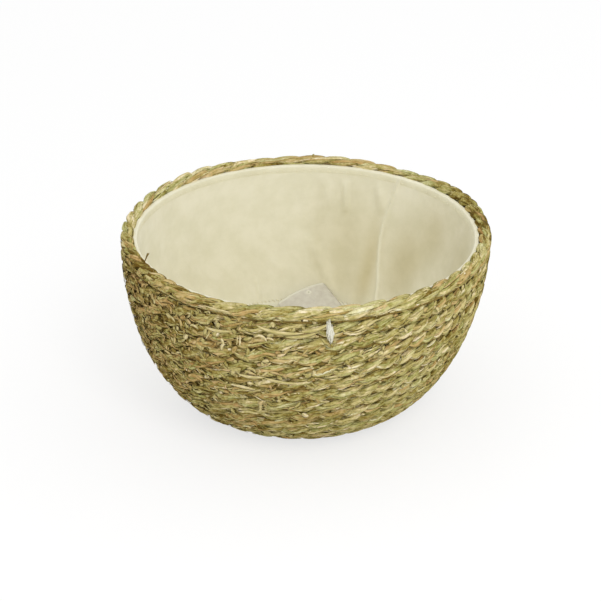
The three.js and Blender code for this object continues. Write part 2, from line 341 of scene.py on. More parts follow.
def dried_stem():
    """Dried water hyacinth stem, flattened as it is twisted: lengthwise ribs and a dull waxy skin.

    The tone changes from stem to stem, and in streaks along each one. Where tan is over 0 the stem is tan,
    and below 0 greener. The ribs are drawn 1 mm apart, coarser than the real 0.2 mm, so that they show. A
    stem darkens towards its edges, and shade is painted where it lies sunk among others.
    """
    material, tree = new_material("dried_hyacinth_stem")
    tone, tan, edge, sunk = [
        add_node(tree, "ShaderNodeAttribute", attribute_name=key).outputs["Fac"]
        for key in ("tone", "tan", "edge", "sunk")]
    surface = add_node(tree, "ShaderNodeUVMap", uv_map="surface").outputs["UV"]
    broad = add_node(tree, "ShaderNodeMapping", {"Vector": surface, "Scale": (0.34, 0.55, 1.0)})
    blotch = add_node(tree, "ShaderNodeTexNoise", {
        "Vector": broad.outputs["Vector"], "Scale": 1.0, "Detail": 3.0, "Roughness": 0.65,
    }, noise_dimensions="2D").outputs["Fac"]
    fine = add_node(tree, "ShaderNodeMapping", {"Vector": surface, "Scale": (0.18, 1.0, 1.0)})
    rib = add_node(tree, "ShaderNodeTexNoise", {
        "Vector": fine.outputs["Vector"], "Scale": 1.0, "Detail": 2.0, "Roughness": 0.6,
    }, noise_dimensions="2D").outputs["Fac"]
    streak = add_node(tree, "ShaderNodeMath", {
        0: rib, 1: RIB_WEIGHT, 2: blotch}, operation="MULTIPLY_ADD").outputs[0]
    shift = add_node(tree, "ShaderNodeMath", {
        0: streak, 1: STREAK_WEIGHT, 2: STREAK_MIDDLE}, operation="MULTIPLY_ADD").outputs[0]
    mixed = add_node(tree, "ShaderNodeMath", {0: tone, 1: shift}, operation="ADD").outputs[0]
    colour = add_node(tree, "ShaderNodeValToRGB", {"Fac": mixed}, STEM_TONES).outputs["Color"]
    warmth = add_node(tree, "ShaderNodeMath", {0: tan, 1: blotch}, operation="MULTIPLY").outputs[0]
    strong = add_node(tree, "ShaderNodeMath", {
        0: warmth, 1: TAN_STRENGTH}, operation="MULTIPLY", use_clamp=True).outputs[0]
    tans = add_node(tree, "ShaderNodeValToRGB", {"Fac": rib}, [(0.35, STEM_RUST), (0.65, STEM_TAN)])
    warm = add_node(tree, "ShaderNodeMix", {
        "Factor": strong, "A": colour, "B": tans.outputs["Color"],
    }, data_type="RGBA").outputs["Result"]
    fresh = add_node(tree, "ShaderNodeMath", {0: tan, 1: -1.0}, operation="MULTIPLY", use_clamp=True)
    green = add_node(tree, "ShaderNodeMix", {
        "Factor": fresh.outputs[0], "A": warm, "B": linear(STEM_FRESH),
    }, data_type="RGBA", blend_type="MULTIPLY").outputs["Result"]
    # Darker towards the stem's edges
    worn = add_node(tree, "ShaderNodeMapRange", {
        "Value": edge, "From Min": 0.5, "From Max": 1.0, "To Min": 0.0, "To Max": EDGE_SHADE,
    }).outputs["Result"]
    # Painted shade where the stem lies sunk, with the darkening towards its edges added
    shade_mix = add_node(tree, "ShaderNodeMath", {
        0: sunk, 1: SUNK_SHADE, 2: worn}, operation="MULTIPLY_ADD", use_clamp=True).outputs[0]
    base = add_node(tree, "ShaderNodeMix", {
        "Factor": shade_mix, "A": green, "B": linear(STEM_SHADE),
    }, data_type="RGBA").outputs["Result"]
    bump = add_node(tree, "ShaderNodeBump", {
        "Strength": 0.25, "Distance": 0.0004, "Height": rib,
    }).outputs["Normal"]
    shader = add_node(tree, "ShaderNodeBsdfPrincipled", {
        "Base Color": base, "Roughness": 0.7, "Specular IOR Level": 0.06, "Normal": bump,
    })
    add_node(tree, "ShaderNodeOutputMaterial", {"Surface": shader.outputs["BSDF"]})
    return material


def bleached_fibre():
    """Bleached inner fibre of a torn stem: nearly white, matt."""
    material, tree = new_material("bleached_inner_fibre")
    surface = add_node(tree, "ShaderNodeUVMap", uv_map="surface").outputs["UV"]
    streak = add_node(tree, "ShaderNodeTexNoise", {
        "Vector": surface, "Scale": 1.5, "Detail": 2.0,
    }, noise_dimensions="2D").outputs["Fac"]
    colour = add_node(tree, "ShaderNodeValToRGB", {"Fac": streak}, [(0.35, "#d0cdb9"), (0.65, "#e8e6da")])
    shader = add_node(tree, "ShaderNodeBsdfPrincipled", {
        "Base Color": colour.outputs["Color"], "Roughness": 0.8, "Specular IOR Level": 0.2,
    })
    add_node(tree, "ShaderNodeOutputMaterial", {"Surface": shader.outputs["BSDF"]})
    return material


def dark_pith():
    """Crushed pith inside a ply: dull brown, seen only as the dark of the holes between stems."""
    material, tree = new_material("crushed_stem_pith")
    place = add_node(tree, "ShaderNodeTexCoord").outputs["Object"]
    grain = add_node(tree, "ShaderNodeTexNoise", {
        "Vector": place, "Scale": 900.0, "Detail": 2.0,
    }).outputs["Fac"]
    colour = add_node(tree, "ShaderNodeValToRGB", {"Fac": grain}, [(0.35, "#725b23"), (0.65, "#95803d")])
    bump = add_node(tree, "ShaderNodeBump", {
        "Strength": 0.6, "Distance": 0.0004, "Height": grain,
    }).outputs["Normal"]
    shader = add_node(tree, "ShaderNodeBsdfPrincipled", {
        "Base Color": colour.outputs["Color"], "Roughness": 0.9, "Normal": bump,
    })
    add_node(tree, "ShaderNodeOutputMaterial", {"Surface": shader.outputs["BSDF"]})
    return material


# Tan towards which painted shade multiplies the lining's colour
PAINTED_SHADE_TAN = "#cabf98"
# At scale 1 a band texture repeats every 2 pi / 20 of its map's units
BANDS_IN_2_PI = 20
WEAVE_WEIGHT = 0.12
PATCH_WEIGHT = 0.7


def woven_cotton(name, light, dark, thread_spacing):
    """Unbleached plain weave cotton: warp and weft cross as two sets of bands, over soft uneven patches.

    The real threads are 0.4 mm apart. The spacing given here is coarser, so that the weave shows at all.
    Painted shade: where the cloth's painted shade is set, its colour is multiplied towards the shade's tan.
    """
    material, tree = new_material(name)
    surface = add_node(tree, "ShaderNodeUVMap", uv_map="surface").outputs["UV"]
    hollow = add_node(tree, "ShaderNodeAttribute", attribute_name="hollow").outputs["Fac"]
    bands = [add_node(tree, "ShaderNodeTexWave", {
        "Vector": surface, "Scale": 2 * math.pi / (BANDS_IN_2_PI * thread_spacing), "Distortion": 1.2,
        "Detail": 1.0, "Detail Scale": 0.02,
    }, wave_type="BANDS", bands_direction=way).outputs["Fac"] for way in ("X", "Y")]
    weave = add_node(tree, "ShaderNodeMath", {0: bands[0], 1: bands[1]}, operation="ADD").outputs[0]
    patches = add_node(tree, "ShaderNodeTexNoise", {
        "Vector": surface, "Scale": 0.05, "Detail": 5.0, "Roughness": 0.65,
    }, noise_dimensions="2D").outputs["Fac"]
    part = add_node(tree, "ShaderNodeMath", {
        0: weave, 1: WEAVE_WEIGHT, 2: -WEAVE_WEIGHT}, operation="MULTIPLY_ADD").outputs[0]
    cloud = add_node(tree, "ShaderNodeMath", {
        0: patches, 1: PATCH_WEIGHT, 2: part}, operation="MULTIPLY_ADD").outputs[0]
    colour = add_node(tree, "ShaderNodeValToRGB", {"Fac": cloud}, [(0.22, dark), (0.48, light)])
    # Painted shade: the colour is multiplied towards the tan as the painted shade rises
    shaded = add_node(tree, "ShaderNodeMix", {
        "Factor": hollow, "A": colour.outputs["Color"], "B": linear(PAINTED_SHADE_TAN),
    }, data_type="RGBA", blend_type="MULTIPLY").outputs["Result"]
    bump = add_node(tree, "ShaderNodeBump", {
        "Strength": 0.3, "Distance": 0.00012, "Height": weave,
    }).outputs["Normal"]
    shader = add_node(tree, "ShaderNodeBsdfPrincipled", {
        "Base Color": shaded, "Roughness": 0.95, "Specular IOR Level": 0.2, "Sheen Weight": 0.1,
        "Normal": bump,
    })
    add_node(tree, "ShaderNodeOutputMaterial", {"Surface": shader.outputs["BSDF"]})
    return material


def spun_thread(name, light, dark):
    """Spun cotton or twine: matt, with its twist drawn as slanting bands.

    The real twist repeats every 0.5 mm or less. The bands are 1 mm apart, coarser, so that they show.
    """
    material, tree = new_material(name)
    place = add_node(tree, "ShaderNodeTexCoord").outputs["Object"]
    turned = add_node(tree, "ShaderNodeMapping", {"Vector": place, "Rotation": (0.5, 0.6, 0.4)})
    twist = add_node(tree, "ShaderNodeTexWave", {
        "Vector": turned.outputs["Vector"], "Scale": 314.0, "Distortion": 2.0,
    }).outputs["Fac"]
    colour = add_node(tree, "ShaderNodeValToRGB", {"Fac": twist}, [(0.2, dark), (0.8, light)])
    bump = add_node(tree, "ShaderNodeBump", {
        "Strength": 0.4, "Distance": 0.0001, "Height": twist,
    }).outputs["Normal"]
    shader = add_node(tree, "ShaderNodeBsdfPrincipled", {
        "Base Color": colour.outputs["Color"], "Roughness": 0.85, "Normal": bump,
    })
    add_node(tree, "ShaderNodeOutputMaterial", {"Surface": shader.outputs["BSDF"]})
    return material


def uncoated_card():
    """Uncoated greyish card: matt and faintly mottled by pulp, paler round its hole, with a painted highlight
    along its top edge.
    """
    material, tree = new_material("uncoated_card")
    place = add_node(tree, "ShaderNodeTexCoord").outputs["Object"]
    # Paler round the hole, and a painted highlight along the top edge
    worn = add_node(tree, "ShaderNodeAttribute", attribute_name="worn").outputs["Fac"]
    pulp = add_node(tree, "ShaderNodeTexNoise", {
        "Vector": place, "Scale": 300.0, "Detail": 5.0,
    }).outputs["Fac"]
    grey = add_node(tree, "ShaderNodeValToRGB", {"Fac": pulp}, [(0.3, "#bdb7a9"), (0.7, "#cac6b8")])
    # Pale colour of the ring round the hole and of the painted highlight along the top edge
    colour = add_node(tree, "ShaderNodeMix", {
        "Factor": worn, "A": grey.outputs["Color"], "B": linear("#ecebd9"),
    }, data_type="RGBA").outputs["Result"]
    bump = add_node(tree, "ShaderNodeBump", {
        "Strength": 0.15, "Distance": 0.0001, "Height": pulp,
    }).outputs["Normal"]
    shader = add_node(tree, "ShaderNodeBsdfPrincipled", {
        "Base Color": colour, "Roughness": 0.6, "Normal": bump,
    })
    add_node(tree, "ShaderNodeOutputMaterial", {"Surface": shader.outputs["BSDF"]})
    return material


stem_material = dried_stem()
pith_material = dark_pith()
bleached_material = bleached_fibre()
lining_material = woven_cotton("unbleached_cotton_calico", "#e7e3cf", "#ddd9c1", 0.8)
tape_material = woven_cotton("folded_cotton_tape", "#e3dfc7", "#dad5ba", 0.7)
twine_material = spun_thread("waxed_twine", "#c8ba8c", "#9d8f62")
cotton_material = spun_thread("cotton_sewing_thread", "#ece7d0", "#d6cfb0")
card_material = uncoated_card()


# Rope

LAST_ROW = round((RIM_ARC - FIRST_TURN_RADIUS) / (ROPE_DIAMETER + ROW_GAP))
ROW_PITCH = (RIM_ARC - FIRST_TURN_RADIUS) / LAST_ROW
ROPE_HALF_WIDTH = (ROW_PITCH - ROW_GAP) / 2
COIL_START = CLIMB_START_ANGLE + CLIMB_ANGLE
TURN_STEP = 0.001
# From this turn on the rope is the rim, which is smoother than the wall. It gets so over a part of a turn
RIM_TURN = LAST_ROW - CLIMB_ANGLE / 360
RIM_BLEND = 0.05
END_LEAST_SIZE = 0.15
# Unruliness: its mean, what the unruly side adds and the right takes off, and its share on the rim, to which
# the older side adds
DISORDER_MEAN = 0.5
DISORDER_UNRULY = 0.6
DISORDER_RIGHT = 0.3
DISORDER_RIM = 0.3
DISORDER_RIM_OLD = 0.4


def waves(x, lengths, source):
    """Sum of one sine for each wavelength, each with its own random phase, from -1 to 1."""
    phases = source.uniform(0, 2 * np.pi, len(lengths))
    return sum(np.sin(2 * np.pi * x / w + p) for w, p in zip(lengths, phases)) / len(lengths)


def bell(azimuth, middle, spread, power=2):
    """1 at the middle and 0 far from it: exp(-(d / spread) ** power), all in degrees but the azimuth."""
    aside = (np.degrees(azimuth) - middle + 180) % 360 - 180
    return np.exp(-(aside / spread) ** power)


def disorder(azimuth):
    """How unruly the rope is: most at the front left, least at the right."""
    unruly = bell(azimuth, *UNRULY_SIDE)
    return DISORDER_MEAN + DISORDER_UNRULY * unruly - DISORDER_RIGHT * bell(azimuth, *RIGHT_SIDE)


def leftness(azimuth):
    """1 at the front left and 0 elsewhere, where the rope is older and worse made."""
    return bell(azimuth, *OLD_SIDE)


def level_arc(turn):
    """Arc of the row at a turn: level, then a cosine climb of a row pitch over the last part of the turn."""
    level = 1 - CLIMB_ANGLE / 360
    share = np.clip((turn % 1 - level) / (1 - level), 0, 1)
    return FIRST_TURN_RADIUS + ROW_PITCH * (np.floor(turn) + (1 - np.cos(np.pi * share)) / 2)


def rope_path():
    """The rope from the base's middle to its tapered end, by length: arc, azimuth, size, twist and wander.

    On the last turn the rim's top edge stays level while the row under it climbs, so the rope is squeezed
    between them. Its end runs on over the row below, thin, and tucks into it. The twist angle is the sum of
    2 pi / lay along the length. The wind, by which stems are laid, is the sum of plain share + twisted share
    * mean lay / lay, so that stems are shorter where the rope is twisted harder.
    """
    turn = np.arange(0, LAST_ROW + 1 - (COIL_START - END_AZIMUTH) / 360, TURN_STEP)
    below = level_arc(turn - 1) + ROPE_HALF_WIDTH + ROW_GAP
    top = RIM_ARC + ROPE_HALF_WIDTH
    last = turn >= LAST_ROW
    half_width = np.where(last, np.maximum((top - below) / 2, END_HALF_WIDTH), ROPE_HALF_WIDTH)
    left = (turn[-1] - turn) * 2 * np.pi * RIM_DIAMETER / 2
    half_width = half_width * np.clip(left / END_TAPER, END_LEAST_SIZE, 1)
    arc = np.where(last, top - half_width, level_arc(turn))
    azimuth = np.radians(COIL_START) + 2 * np.pi * turn
    centre = bowl_points(arc, 0.0, 0.0, azimuth)
    step = np.linalg.norm(np.diff(centre, axis=0), axis=1)
    length = np.append(0.0, np.cumsum(step))
    on_rim = turn > LAST_ROW - RIM_LAY_LEAD
    lay = np.where(on_rim, LAY_RIM, LAY_MEAN + LAY_SWING * waves(length, LAY_WAVES, rng))
    right = bell(azimuth, *RIGHT_SIDE)
    lay = lay + (LAY_RIGHT - lay) * right * np.where(on_rim, RIGHT_LAY_RIM, RIGHT_LAY_WALL)
    short = np.maximum(SHORT_LAY_OLD * leftness(azimuth), SHORT_LAY_RIGHT * bell(azimuth, *SHORT_LAY_SIDE))
    lay = lay + (LAY_RIM_SHORT - lay) * short * on_rim
    wind = WIND_PLAIN + WIND_TWISTED * LAY_MEAN / lay[1:]
    rim_disorder = DISORDER_RIM + DISORDER_RIM_OLD * leftness(azimuth)
    return {
        "length": length, "turn": turn, "arc": arc, "azimuth": azimuth,
        "twist": np.append(0.0, np.cumsum(2 * np.pi / lay[1:] * step)),
        "wind": np.append(0.0, np.cumsum(wind * step)),
        "rim": np.clip((turn - RIM_TURN) / RIM_BLEND, 0, 1),
        "size": half_width / ROPE_HALF_WIDTH,
        "disorder": disorder(azimuth) * np.where(turn > RIM_TURN, rim_disorder, 1.0),
        "rise": CENTRE_WANDER * waves(length, RISE_WAVES, rng),
        "sink": CENTRE_WANDER * waves(length, SINK_WAVES, rng),
    }


PATH = rope_path()
ROPE_LENGTH = PATH["length"][-1]
# Where the rope is pressed: from rest on by the lining, the rows beside it, use, the ground and the rim's
# maker, and how far it can still reach past that
LINING_REST = 4.0
LINING_REACH = 1.15
ROW_REST = 4.5
ROW_REACH = 0.9
OUTSIDE_REST = 3.6
OUTSIDE_REACH = 1.2
FRAY_REACH = 2.6
GROUND_REST = 1.0
RIM_REST = 3.2
RIM_REACH = 0.9
RIM_ROUND = 4.3
RIM_ROUND_REACH = 0.7


def along_path(length, key):
    return np.interp(length, PATH["length"], PATH[key])


def pressed(value, rest, reach):
    """A value pressed back towards rest + reach: past rest, rest + reach * (1 - exp(-excess / reach))."""
    excess = np.maximum(value - rest, 0)
    return np.minimum(value, rest) + reach * (1 - np.exp(-excess / reach))


# Where the rim stands up, as the rope is thicker there: azimuth, spread in degrees and rise
HEAVES = [(105.0, 38.0, 2.2), (24.0, 16.0, 1.2), (240.0, 13.0, -1.2)]
HEAVE_DEPTH = 13.0
HEAVE_MOST = 1.4


def heave(arc, azimuth):
    """Rise of the rim over its plain height: flat bells, rise * exp(-(d / spread) ** 4).

    It fades out to HEAVE_DEPTH below the rim as the square of the height that is left.
    """
    total = sum(rise * bell(azimuth, middle, spread, 4) for middle, spread, rise in HEAVES)
    return total * np.clip((arc - RIM_ARC) / HEAVE_DEPTH + 1, 0, HEAVE_MOST) ** 2


def rope_points(length, p, q, outside_reach=OUTSIDE_REACH, row_reach=ROW_REACH):
    """Points at a length of the rope, p up the wall and q towards the inside from its centre.

    The rope is pressed by the lining inside, by its neighbours above and below, and by use outside. The rim
    is pressed round, and its top a little more. What would pass through the ground nears it as
    rest * exp(height / rest - 1).
    """
    away = np.hypot(p, q) + 1e-6
    round_rim = (pressed(away, RIM_ROUND, RIM_ROUND_REACH) / away - 1) * along_path(length, "rim") + 1
    p, q = p * round_rim, q * round_rim
    q = pressed(q + along_path(length, "sink"), LINING_REST, LINING_REACH)
    q = -pressed(-q, OUTSIDE_REST, outside_reach)
    arc, azimuth = along_path(length, "arc"), along_path(length, "azimuth")
    p = pressed(p + along_path(length, "rise"), ROW_REST, row_reach)
    p = -pressed(-p, ROW_REST, row_reach)
    p = pressed(p + arc, RIM_ARC + RIM_REST, RIM_REACH) - arc
    points = bowl_points(arc, p + heave(arc + p, azimuth), q, azimuth)
    height = points[..., 2]
    low = GROUND_REST * np.exp(np.minimum(height / GROUND_REST - 1, 0))
    points[..., 2] = np.where(height < GROUND_REST, low, height)
    return points


def ply_frame(length, ply):
    """A ply's twist angle, its centre from the rope's centre and its stretch up the wall and inwards.

    The centre is a circle's point at the twist angle, the two plies half a turn apart. Where a ply lies
    outside or inside the other it is stretched up and down, and where above or below it, in and out. On the
    rim the plies are thicker and closer.
    """
    angle = along_path(length, "twist") + np.pi * ply
    size_up = along_path(length, "size")
    size_in = size_up ** THIN_POWER
    rim = along_path(length, "rim")
    offset = PLY_OFFSET * (1 - RIM_MERGE * rim)
    up = (1 + STRETCH_UP * np.sin(angle) ** 2) * size_up * (1 + RIM_MERGE * rim)
    inward = (1 + STRETCH_IN * np.cos(angle) ** 2) * size_in * (1 + RIM_MERGE * rim)
    return angle, offset * np.cos(angle) * size_up, offset * np.sin(angle) * size_in, up, inward


def stem_sizes(source):
    """Stems laid end over end in each place round each ply, from the start of the rope to its end."""
    places = 2 * STEMS_ROUND_PLY
    whole = PATH["wind"][-1]
    most = int(whole / (STEM_LENGTHS[0] - STEM_OVERLAP)) + 2
    size = source.uniform(*STEM_LENGTHS, (places, most))
    start = np.cumsum(size - STEM_OVERLAP, axis=1) - size - source.uniform(0, STEM_LENGTHS[1], (places, 1))
    start = np.maximum(start, 0)
    end = np.minimum(start + size, whole)
    place = np.broadcast_to(np.arange(places)[:, None], start.shape)
    kept = end - start > STEM_OVERLAP
    order = np.argsort(start[kept])
    start, end = [np.interp(x[kept][order], PATH["wind"], PATH["length"]) for x in (start, end)]
    return start, end, place[kept][order]


# Kinds of stem: share of all, and mean and spread of the tone
STEM_KINDS = [(0.56, 0.46, 0.05), (0.26, 0.58, 0.05), (0.10, 0.76, 0.05), (0.08, 0.31, 0.05)]
TONE_LIMITS = (0.04, 0.98)
# Slow changes of tone, and of how many stems are tan, along the rope: size, wavelengths and how far apart
# the two plies read them
TONE_DRIFT = 0.17
DRIFT_WAVES = (240.0, 110.0, 64.0)
DRIFT_APART = 900.0
TAN_CLUSTER = 1.6
CLUSTER_WAVES = (190.0, 90.0, 57.0)
CLUSTER_APART = 500.0
# Tan stems: share of all, how much more of them there are on the older side and on the rim's back, at which
# azimuth and over how many degrees that is, the limits of clustering, and how tan they are
TAN_SHARE = 0.09
TAN_MORE_OLD = 2.2
TAN_MORE_BACK = 3.0
TAN_BACK_SIDE = (80.0, 30.0)
TAN_LIMITS = (0.15, 3)
TAN_DEPTHS = (0.4, 1.0)
# Greenish stems: share of all, how much fewer on the older side and where tan ones cluster, limits and depth
FRESH_SHARE = 0.45
FRESH_LESS_OLD = 0.7
FRESH_LESS_TAN = 0.6
FRESH_LIMITS = (0.2, 2)
FRESH_DEPTHS = (0.2, 0.85)
# Darker parts, partly the rope's own darker strands and partly painted shade where the wall turns from the
# light: azimuth, spread in degrees and loss of tone, down the wall and along the rim, where a loss below 0
# pales it
DARK_AND_SHADED_SIDES = [
    (194.0, 22.0, 0.28, 0.10), (222.0, 24.0, 0.05, 0.15), (170.0, 14.0, 0.0, 0.02), (352.0, 18.0, 0.10, 0.30),
    (12.0, 16.0, 0.0, 0.28), (84.0, 34.0, 0.0, -0.04), (197.0, 22.0, 0.0, 0.20),
]
# Tone added on the rim: painted light, for its top lit from above
RIM_PAINTED_LIGHT = 0.08
SIDE_TONE_LIMITS = (0.02, 0.98)


def side_darkness_and_shade(length):
    """Loss of tone at the far left and right, as bells over the azimuth: partly darker strands, partly
    painted shade. Less the painted light on the rim.
    """
    azimuth = along_path(length, "azimuth")
    rim = along_path(length, "turn") > RIM_TURN
    total = -RIM_PAINTED_LIGHT * rim
    for middle, spread, wall_loss, rim_loss in DARK_AND_SHADED_SIDES:
        total = total + np.where(rim, rim_loss, wall_loss) * bell(azimuth, middle, spread)
    return total


def stem_tones(start, place, source):
    """Tone and tan of each stem. Neighbours on one ply are alike, and the left of the basket is browner.

    A tan below 0 stands for a stem that is still greenish.
    """
    count = len(start)
    ply = place // STEMS_ROUND_PLY
    shares, means, spreads = np.array(STEM_KINDS).T
    kind = source.choice(len(shares), count, p=shares)
    drift = TONE_DRIFT * waves(start + DRIFT_APART * ply, DRIFT_WAVES, source)
    cluster = TAN_CLUSTER * waves(start + CLUSTER_APART * ply, CLUSTER_WAVES, source)
    tone = np.clip(source.normal(means[kind], spreads[kind]) + drift, *TONE_LIMITS)
    azimuth = along_path(start, "azimuth")
    left = leftness(azimuth)
    back = bell(azimuth, *TAN_BACK_SIDE) * (along_path(start, "turn") > RIM_TURN)
    many = TAN_SHARE * (1 + TAN_MORE_OLD * left + TAN_MORE_BACK * back) * np.clip(1 + cluster, *TAN_LIMITS)
    tan = (source.uniform(0, 1, count) < many) * source.uniform(*TAN_DEPTHS, count)
    green = FRESH_SHARE * (1 - FRESH_LESS_OLD * left) * np.clip(1 - FRESH_LESS_TAN * cluster, *FRESH_LIMITS)
    fresh = (source.uniform(0, 1, count) < green) * source.uniform(*FRESH_DEPTHS, count)
    tan = np.where(tan > 0, tan, -fresh)
    # Less tone at the sides, partly darker strands and partly painted shade, and more on the rim, painted
    # light
    return np.clip(tone - side_darkness_and_shade(start), *SIDE_TONE_LIMITS), tan


# How a stem lies: the length of its narrowing ends, how they narrow, and their least share of the width and
# of the thickness
STEM_TIP = 6.0
STEM_TIP_POWER = 0.6
STEM_TIP_WIDTH = 0.2
STEM_TIP_THICKNESS = 0.35
# Wavelengths of its slow changes, and how far these change its width, its height, its place and its tone
STEM_WAVES = (10.0, 26.0)
WIDTH_SWING = 0.2
LIFT_SWING = 0.25
PLACE_SWING = 0.45
TILT_SWING = 0.45
TONE_SWING = 0.12
# Its own height over the ply, how deep it lies and tucks its ends, and how its section curls
STEM_LIFT = 0.25
STEM_DEPTH = 0.3
STEM_TUCK = 0.9
STEM_CURL = (-0.25, 0.4)
# The rim's stems are flatter, and less dark at their edges
RIM_FLATTER = 0.35
RIM_EDGE_LESS = 0.4
# Depth under the ply's surface at which a stem's painted shade is at its darkest
SUNK_DEPTH = 1.2
# Each stem or strand reads its own part of the surface patterns, up to this far away
MAP_SHIFT = 500


def stem_piece_points(start, end, place, source):
    """Points of each stem's closed tube, round its ply, with its surface map, edge, depth and fade.

    The stem lies at the ply's radius, at an angle that turns back slowly against the twist. Its lens section
    is wrapped round the ply: across becomes an angle, and height a radius. It lifts and tilts in slow waves,
    most where the rope is unruly, and its two ends narrow and tuck in.
    """
    count = len(start)
    share = np.linspace(0, 1, STEM_STATIONS)[None, :]
    length = start[:, None] + (end - start)[:, None] * share
    ply = (place // STEMS_ROUND_PLY)[:, None]
    slot = (place % STEMS_ROUND_PLY)[:, None]
    angle, centre_p, centre_q, up, inward = ply_frame(length, ply)
    unruly = along_path(length, "disorder")
    rim = along_path(length, "rim")
    from_end = np.minimum(share, 1 - share) * (end - start)[:, None]
    full = np.clip(from_end / STEM_TIP, 0, 1) ** STEM_TIP_POWER
    phase = source.uniform(0, 2 * np.pi, (5, count, 1))
    rate = source.uniform(*STEM_WAVES, (5, count, 1))
    wave = np.sin(2 * np.pi * length / rate + phase)
    width = source.uniform(*STEM_HALF_WIDTHS, (count, 1)) * (1 + WIDTH_SWING * wave[0])
    width = width * (STEM_TIP_WIDTH + (1 - STEM_TIP_WIDTH) * full)
    thick = source.uniform(*STEM_HALF_THICKNESS, (count, 1))
    thick = thick * (STEM_TIP_THICKNESS + (1 - STEM_TIP_THICKNESS) * full) * (1 - RIM_FLATTER * rim)
    lift = source.uniform(-STEM_LIFT, STEM_LIFT, (count, 1))
    lift = lift + LIFT_SWING * unruly * wave[1] - STEM_TUCK * (1 - full)
    radius = PLY_RADIUS - STEM_DEPTH + lift
    around = (slot + PLACE_SWING * unruly * wave[2]) * 2 * np.pi / STEMS_ROUND_PLY - COUNTER_TWIST * angle
    tilt = TILT_SWING * unruly * wave[3]
    curl = source.uniform(*STEM_CURL, (count, 1))

    across, height = STEM_SECTION.T
    offset = width[..., None] * across
    rise = thick[..., None] * height + tilt[..., None] * across + curl[..., None] * across ** 2
    at = around[..., None] + offset / radius[..., None]
    reach = radius[..., None] + rise
    p = centre_p[..., None] + reach * np.cos(at) * up[..., None]
    q = centre_q[..., None] + reach * np.sin(at) * inward[..., None]
    points = rope_points(length[..., None], p, q)
    shift = source.uniform(0, MAP_SHIFT, (2, count, 1, 1))
    uv = (length[..., None] + shift[0], offset + shift[1])
    edge = np.abs(across) * (1 - RIM_EDGE_LESS * rim[..., None])
    # Painted shade, deeper the further the stem lies under the ply's surface
    sunk = np.clip((PLY_RADIUS - reach) / SUNK_DEPTH, 0, 1)
    fade = (TONE_SWING * wave[4])[..., None]
    return points, uv, edge, sunk, fade


def add_rope_tubes(name, material, points, uv=None, **values):
    """One piece of the rope, made of tubes."""
    add_piece(make_mesh(name, points, tube_faces(points), uv, **values), material, "coil_rope")


def add_stems():
    """The stems of both plies, in several pieces, because one would have too many triangles."""
    source = np.random.default_rng(SEED + 1)
    start, end, place = stem_sizes(source)
    tone, tan = stem_tones(start, place, source)
    for i, part in enumerate(np.array_split(np.arange(len(start)), STEM_PIECES)):
        points, uv, edge, sunk, fade = stem_piece_points(start[part], end[part], place[part], source)
        add_rope_tubes(
            f"rope_stems_{i + 1}", stem_material, points, uv, edge=edge, sunk=sunk,
            tone=tone[part, None, None] + fade, tan=tan[part, None, None],
        )


CORE_RADIUS = 1.9
CORE_SIDES = 6
CORE_STEP = 4.0


def add_core():
    """Pith in the middle of each ply, a tube along its centre, so that no light shows through the wall."""
    stations = int(ROPE_LENGTH / CORE_STEP)
    length = np.linspace(0, ROPE_LENGTH, stations)[None, :]
    _, centre_p, centre_q, up, inward = ply_frame(length, np.arange(2)[:, None])
    turn = np.linspace(0, 2 * np.pi, CORE_SIDES, endpoint=False)
    p = centre_p[..., None] + CORE_RADIUS * np.cos(turn) * up[..., None]
    q = centre_q[..., None] + CORE_RADIUS * np.sin(turn) * inward[..., None]
    add_rope_tubes("rope_pith", pith_material, rope_points(length[..., None], p, q))


GROOVE_START = 0.3
GROOVE_STEP = 0.006
GROOVE_DEPTH = -0.1
GROOVE_HALF_SIZE = (1.5, 1.8)


def add_groove_pith():
    """Crushed stems in the groove over each row, so that the wall is closed where the plies of two rows part.

    A tube half a row above the row's middle line: an ellipse of up * cos(t) and depth + inward * sin(t).
    """
    turn = np.arange(GROOVE_START, PATH["turn"][-1] - 1, GROOVE_STEP)[:, None]
    t = np.linspace(0, 2 * np.pi, CORE_SIDES, endpoint=False)
    up, inward = GROOVE_HALF_SIZE
    points = bowl_points(
        level_arc(turn) + ROW_PITCH / 2, up * np.cos(t), GROOVE_DEPTH + inward * np.sin(t),
        np.radians(COIL_START) + 2 * np.pi * turn)
    add_rope_tubes("rope_groove_pith", pith_material, points[None])


add_stems()
add_core()
add_groove_pith()


# Frayed stems

FRAY_STATIONS = 7
FRAY_SECTION = np.array([(1.0, 0.0), (0.0, 0.8), (-1.0, 0.0), (0.0, -0.8)])
WALL_START_TURN = 5.5
# Kinds of frayed bits: how many, their lengths, half widths and heights off the rope, the mean and spread of
# their tone, and their thickness
FRAYS = {
    "rope_frayed_ends": (2000, (2.5, 8.0), (0.5, 1.2), (0.0, 0.3), (0.57, 0.13), 0.14),
    "rope_frayed_skin": (3000, (3.0, 8.0), (0.9, 2.1), (0.0, 0.16), (0.52, 0.15), 0.12),
    "rope_loose_fibres": (400, (4.0, 11.0), (0.14, 0.26), (0.1, 0.9), (0.62, 0.12), 0.1),
}
# Places are tried several times over and kept by the rope's unruliness, of which this much keeps them all
FRAY_TRIES = 4
KEPT_AT = 1.2
# From so many rows under the rim down, the unruliness counts for this share
LOW_ROWS = 7
LOW_SHARE = 0.5
# The rope's end stays free of them
FRAY_FREE_END = 20.0
# Place round the rope's section, in degrees from its top or bottom to its outermost line: the share near the
# groove, and the ranges near the groove and near the outermost line
GROOVE_SHARE = 0.6
NEAR_GROOVE = (8, 50)
NEAR_CREST = (50, 90)
# The rope's half height and half thickness there, and how deep the bits lie
FRAY_UP = 4.7
FRAY_OUT = 4.5
FRAY_DEPTHS = (-0.5, 0.3)
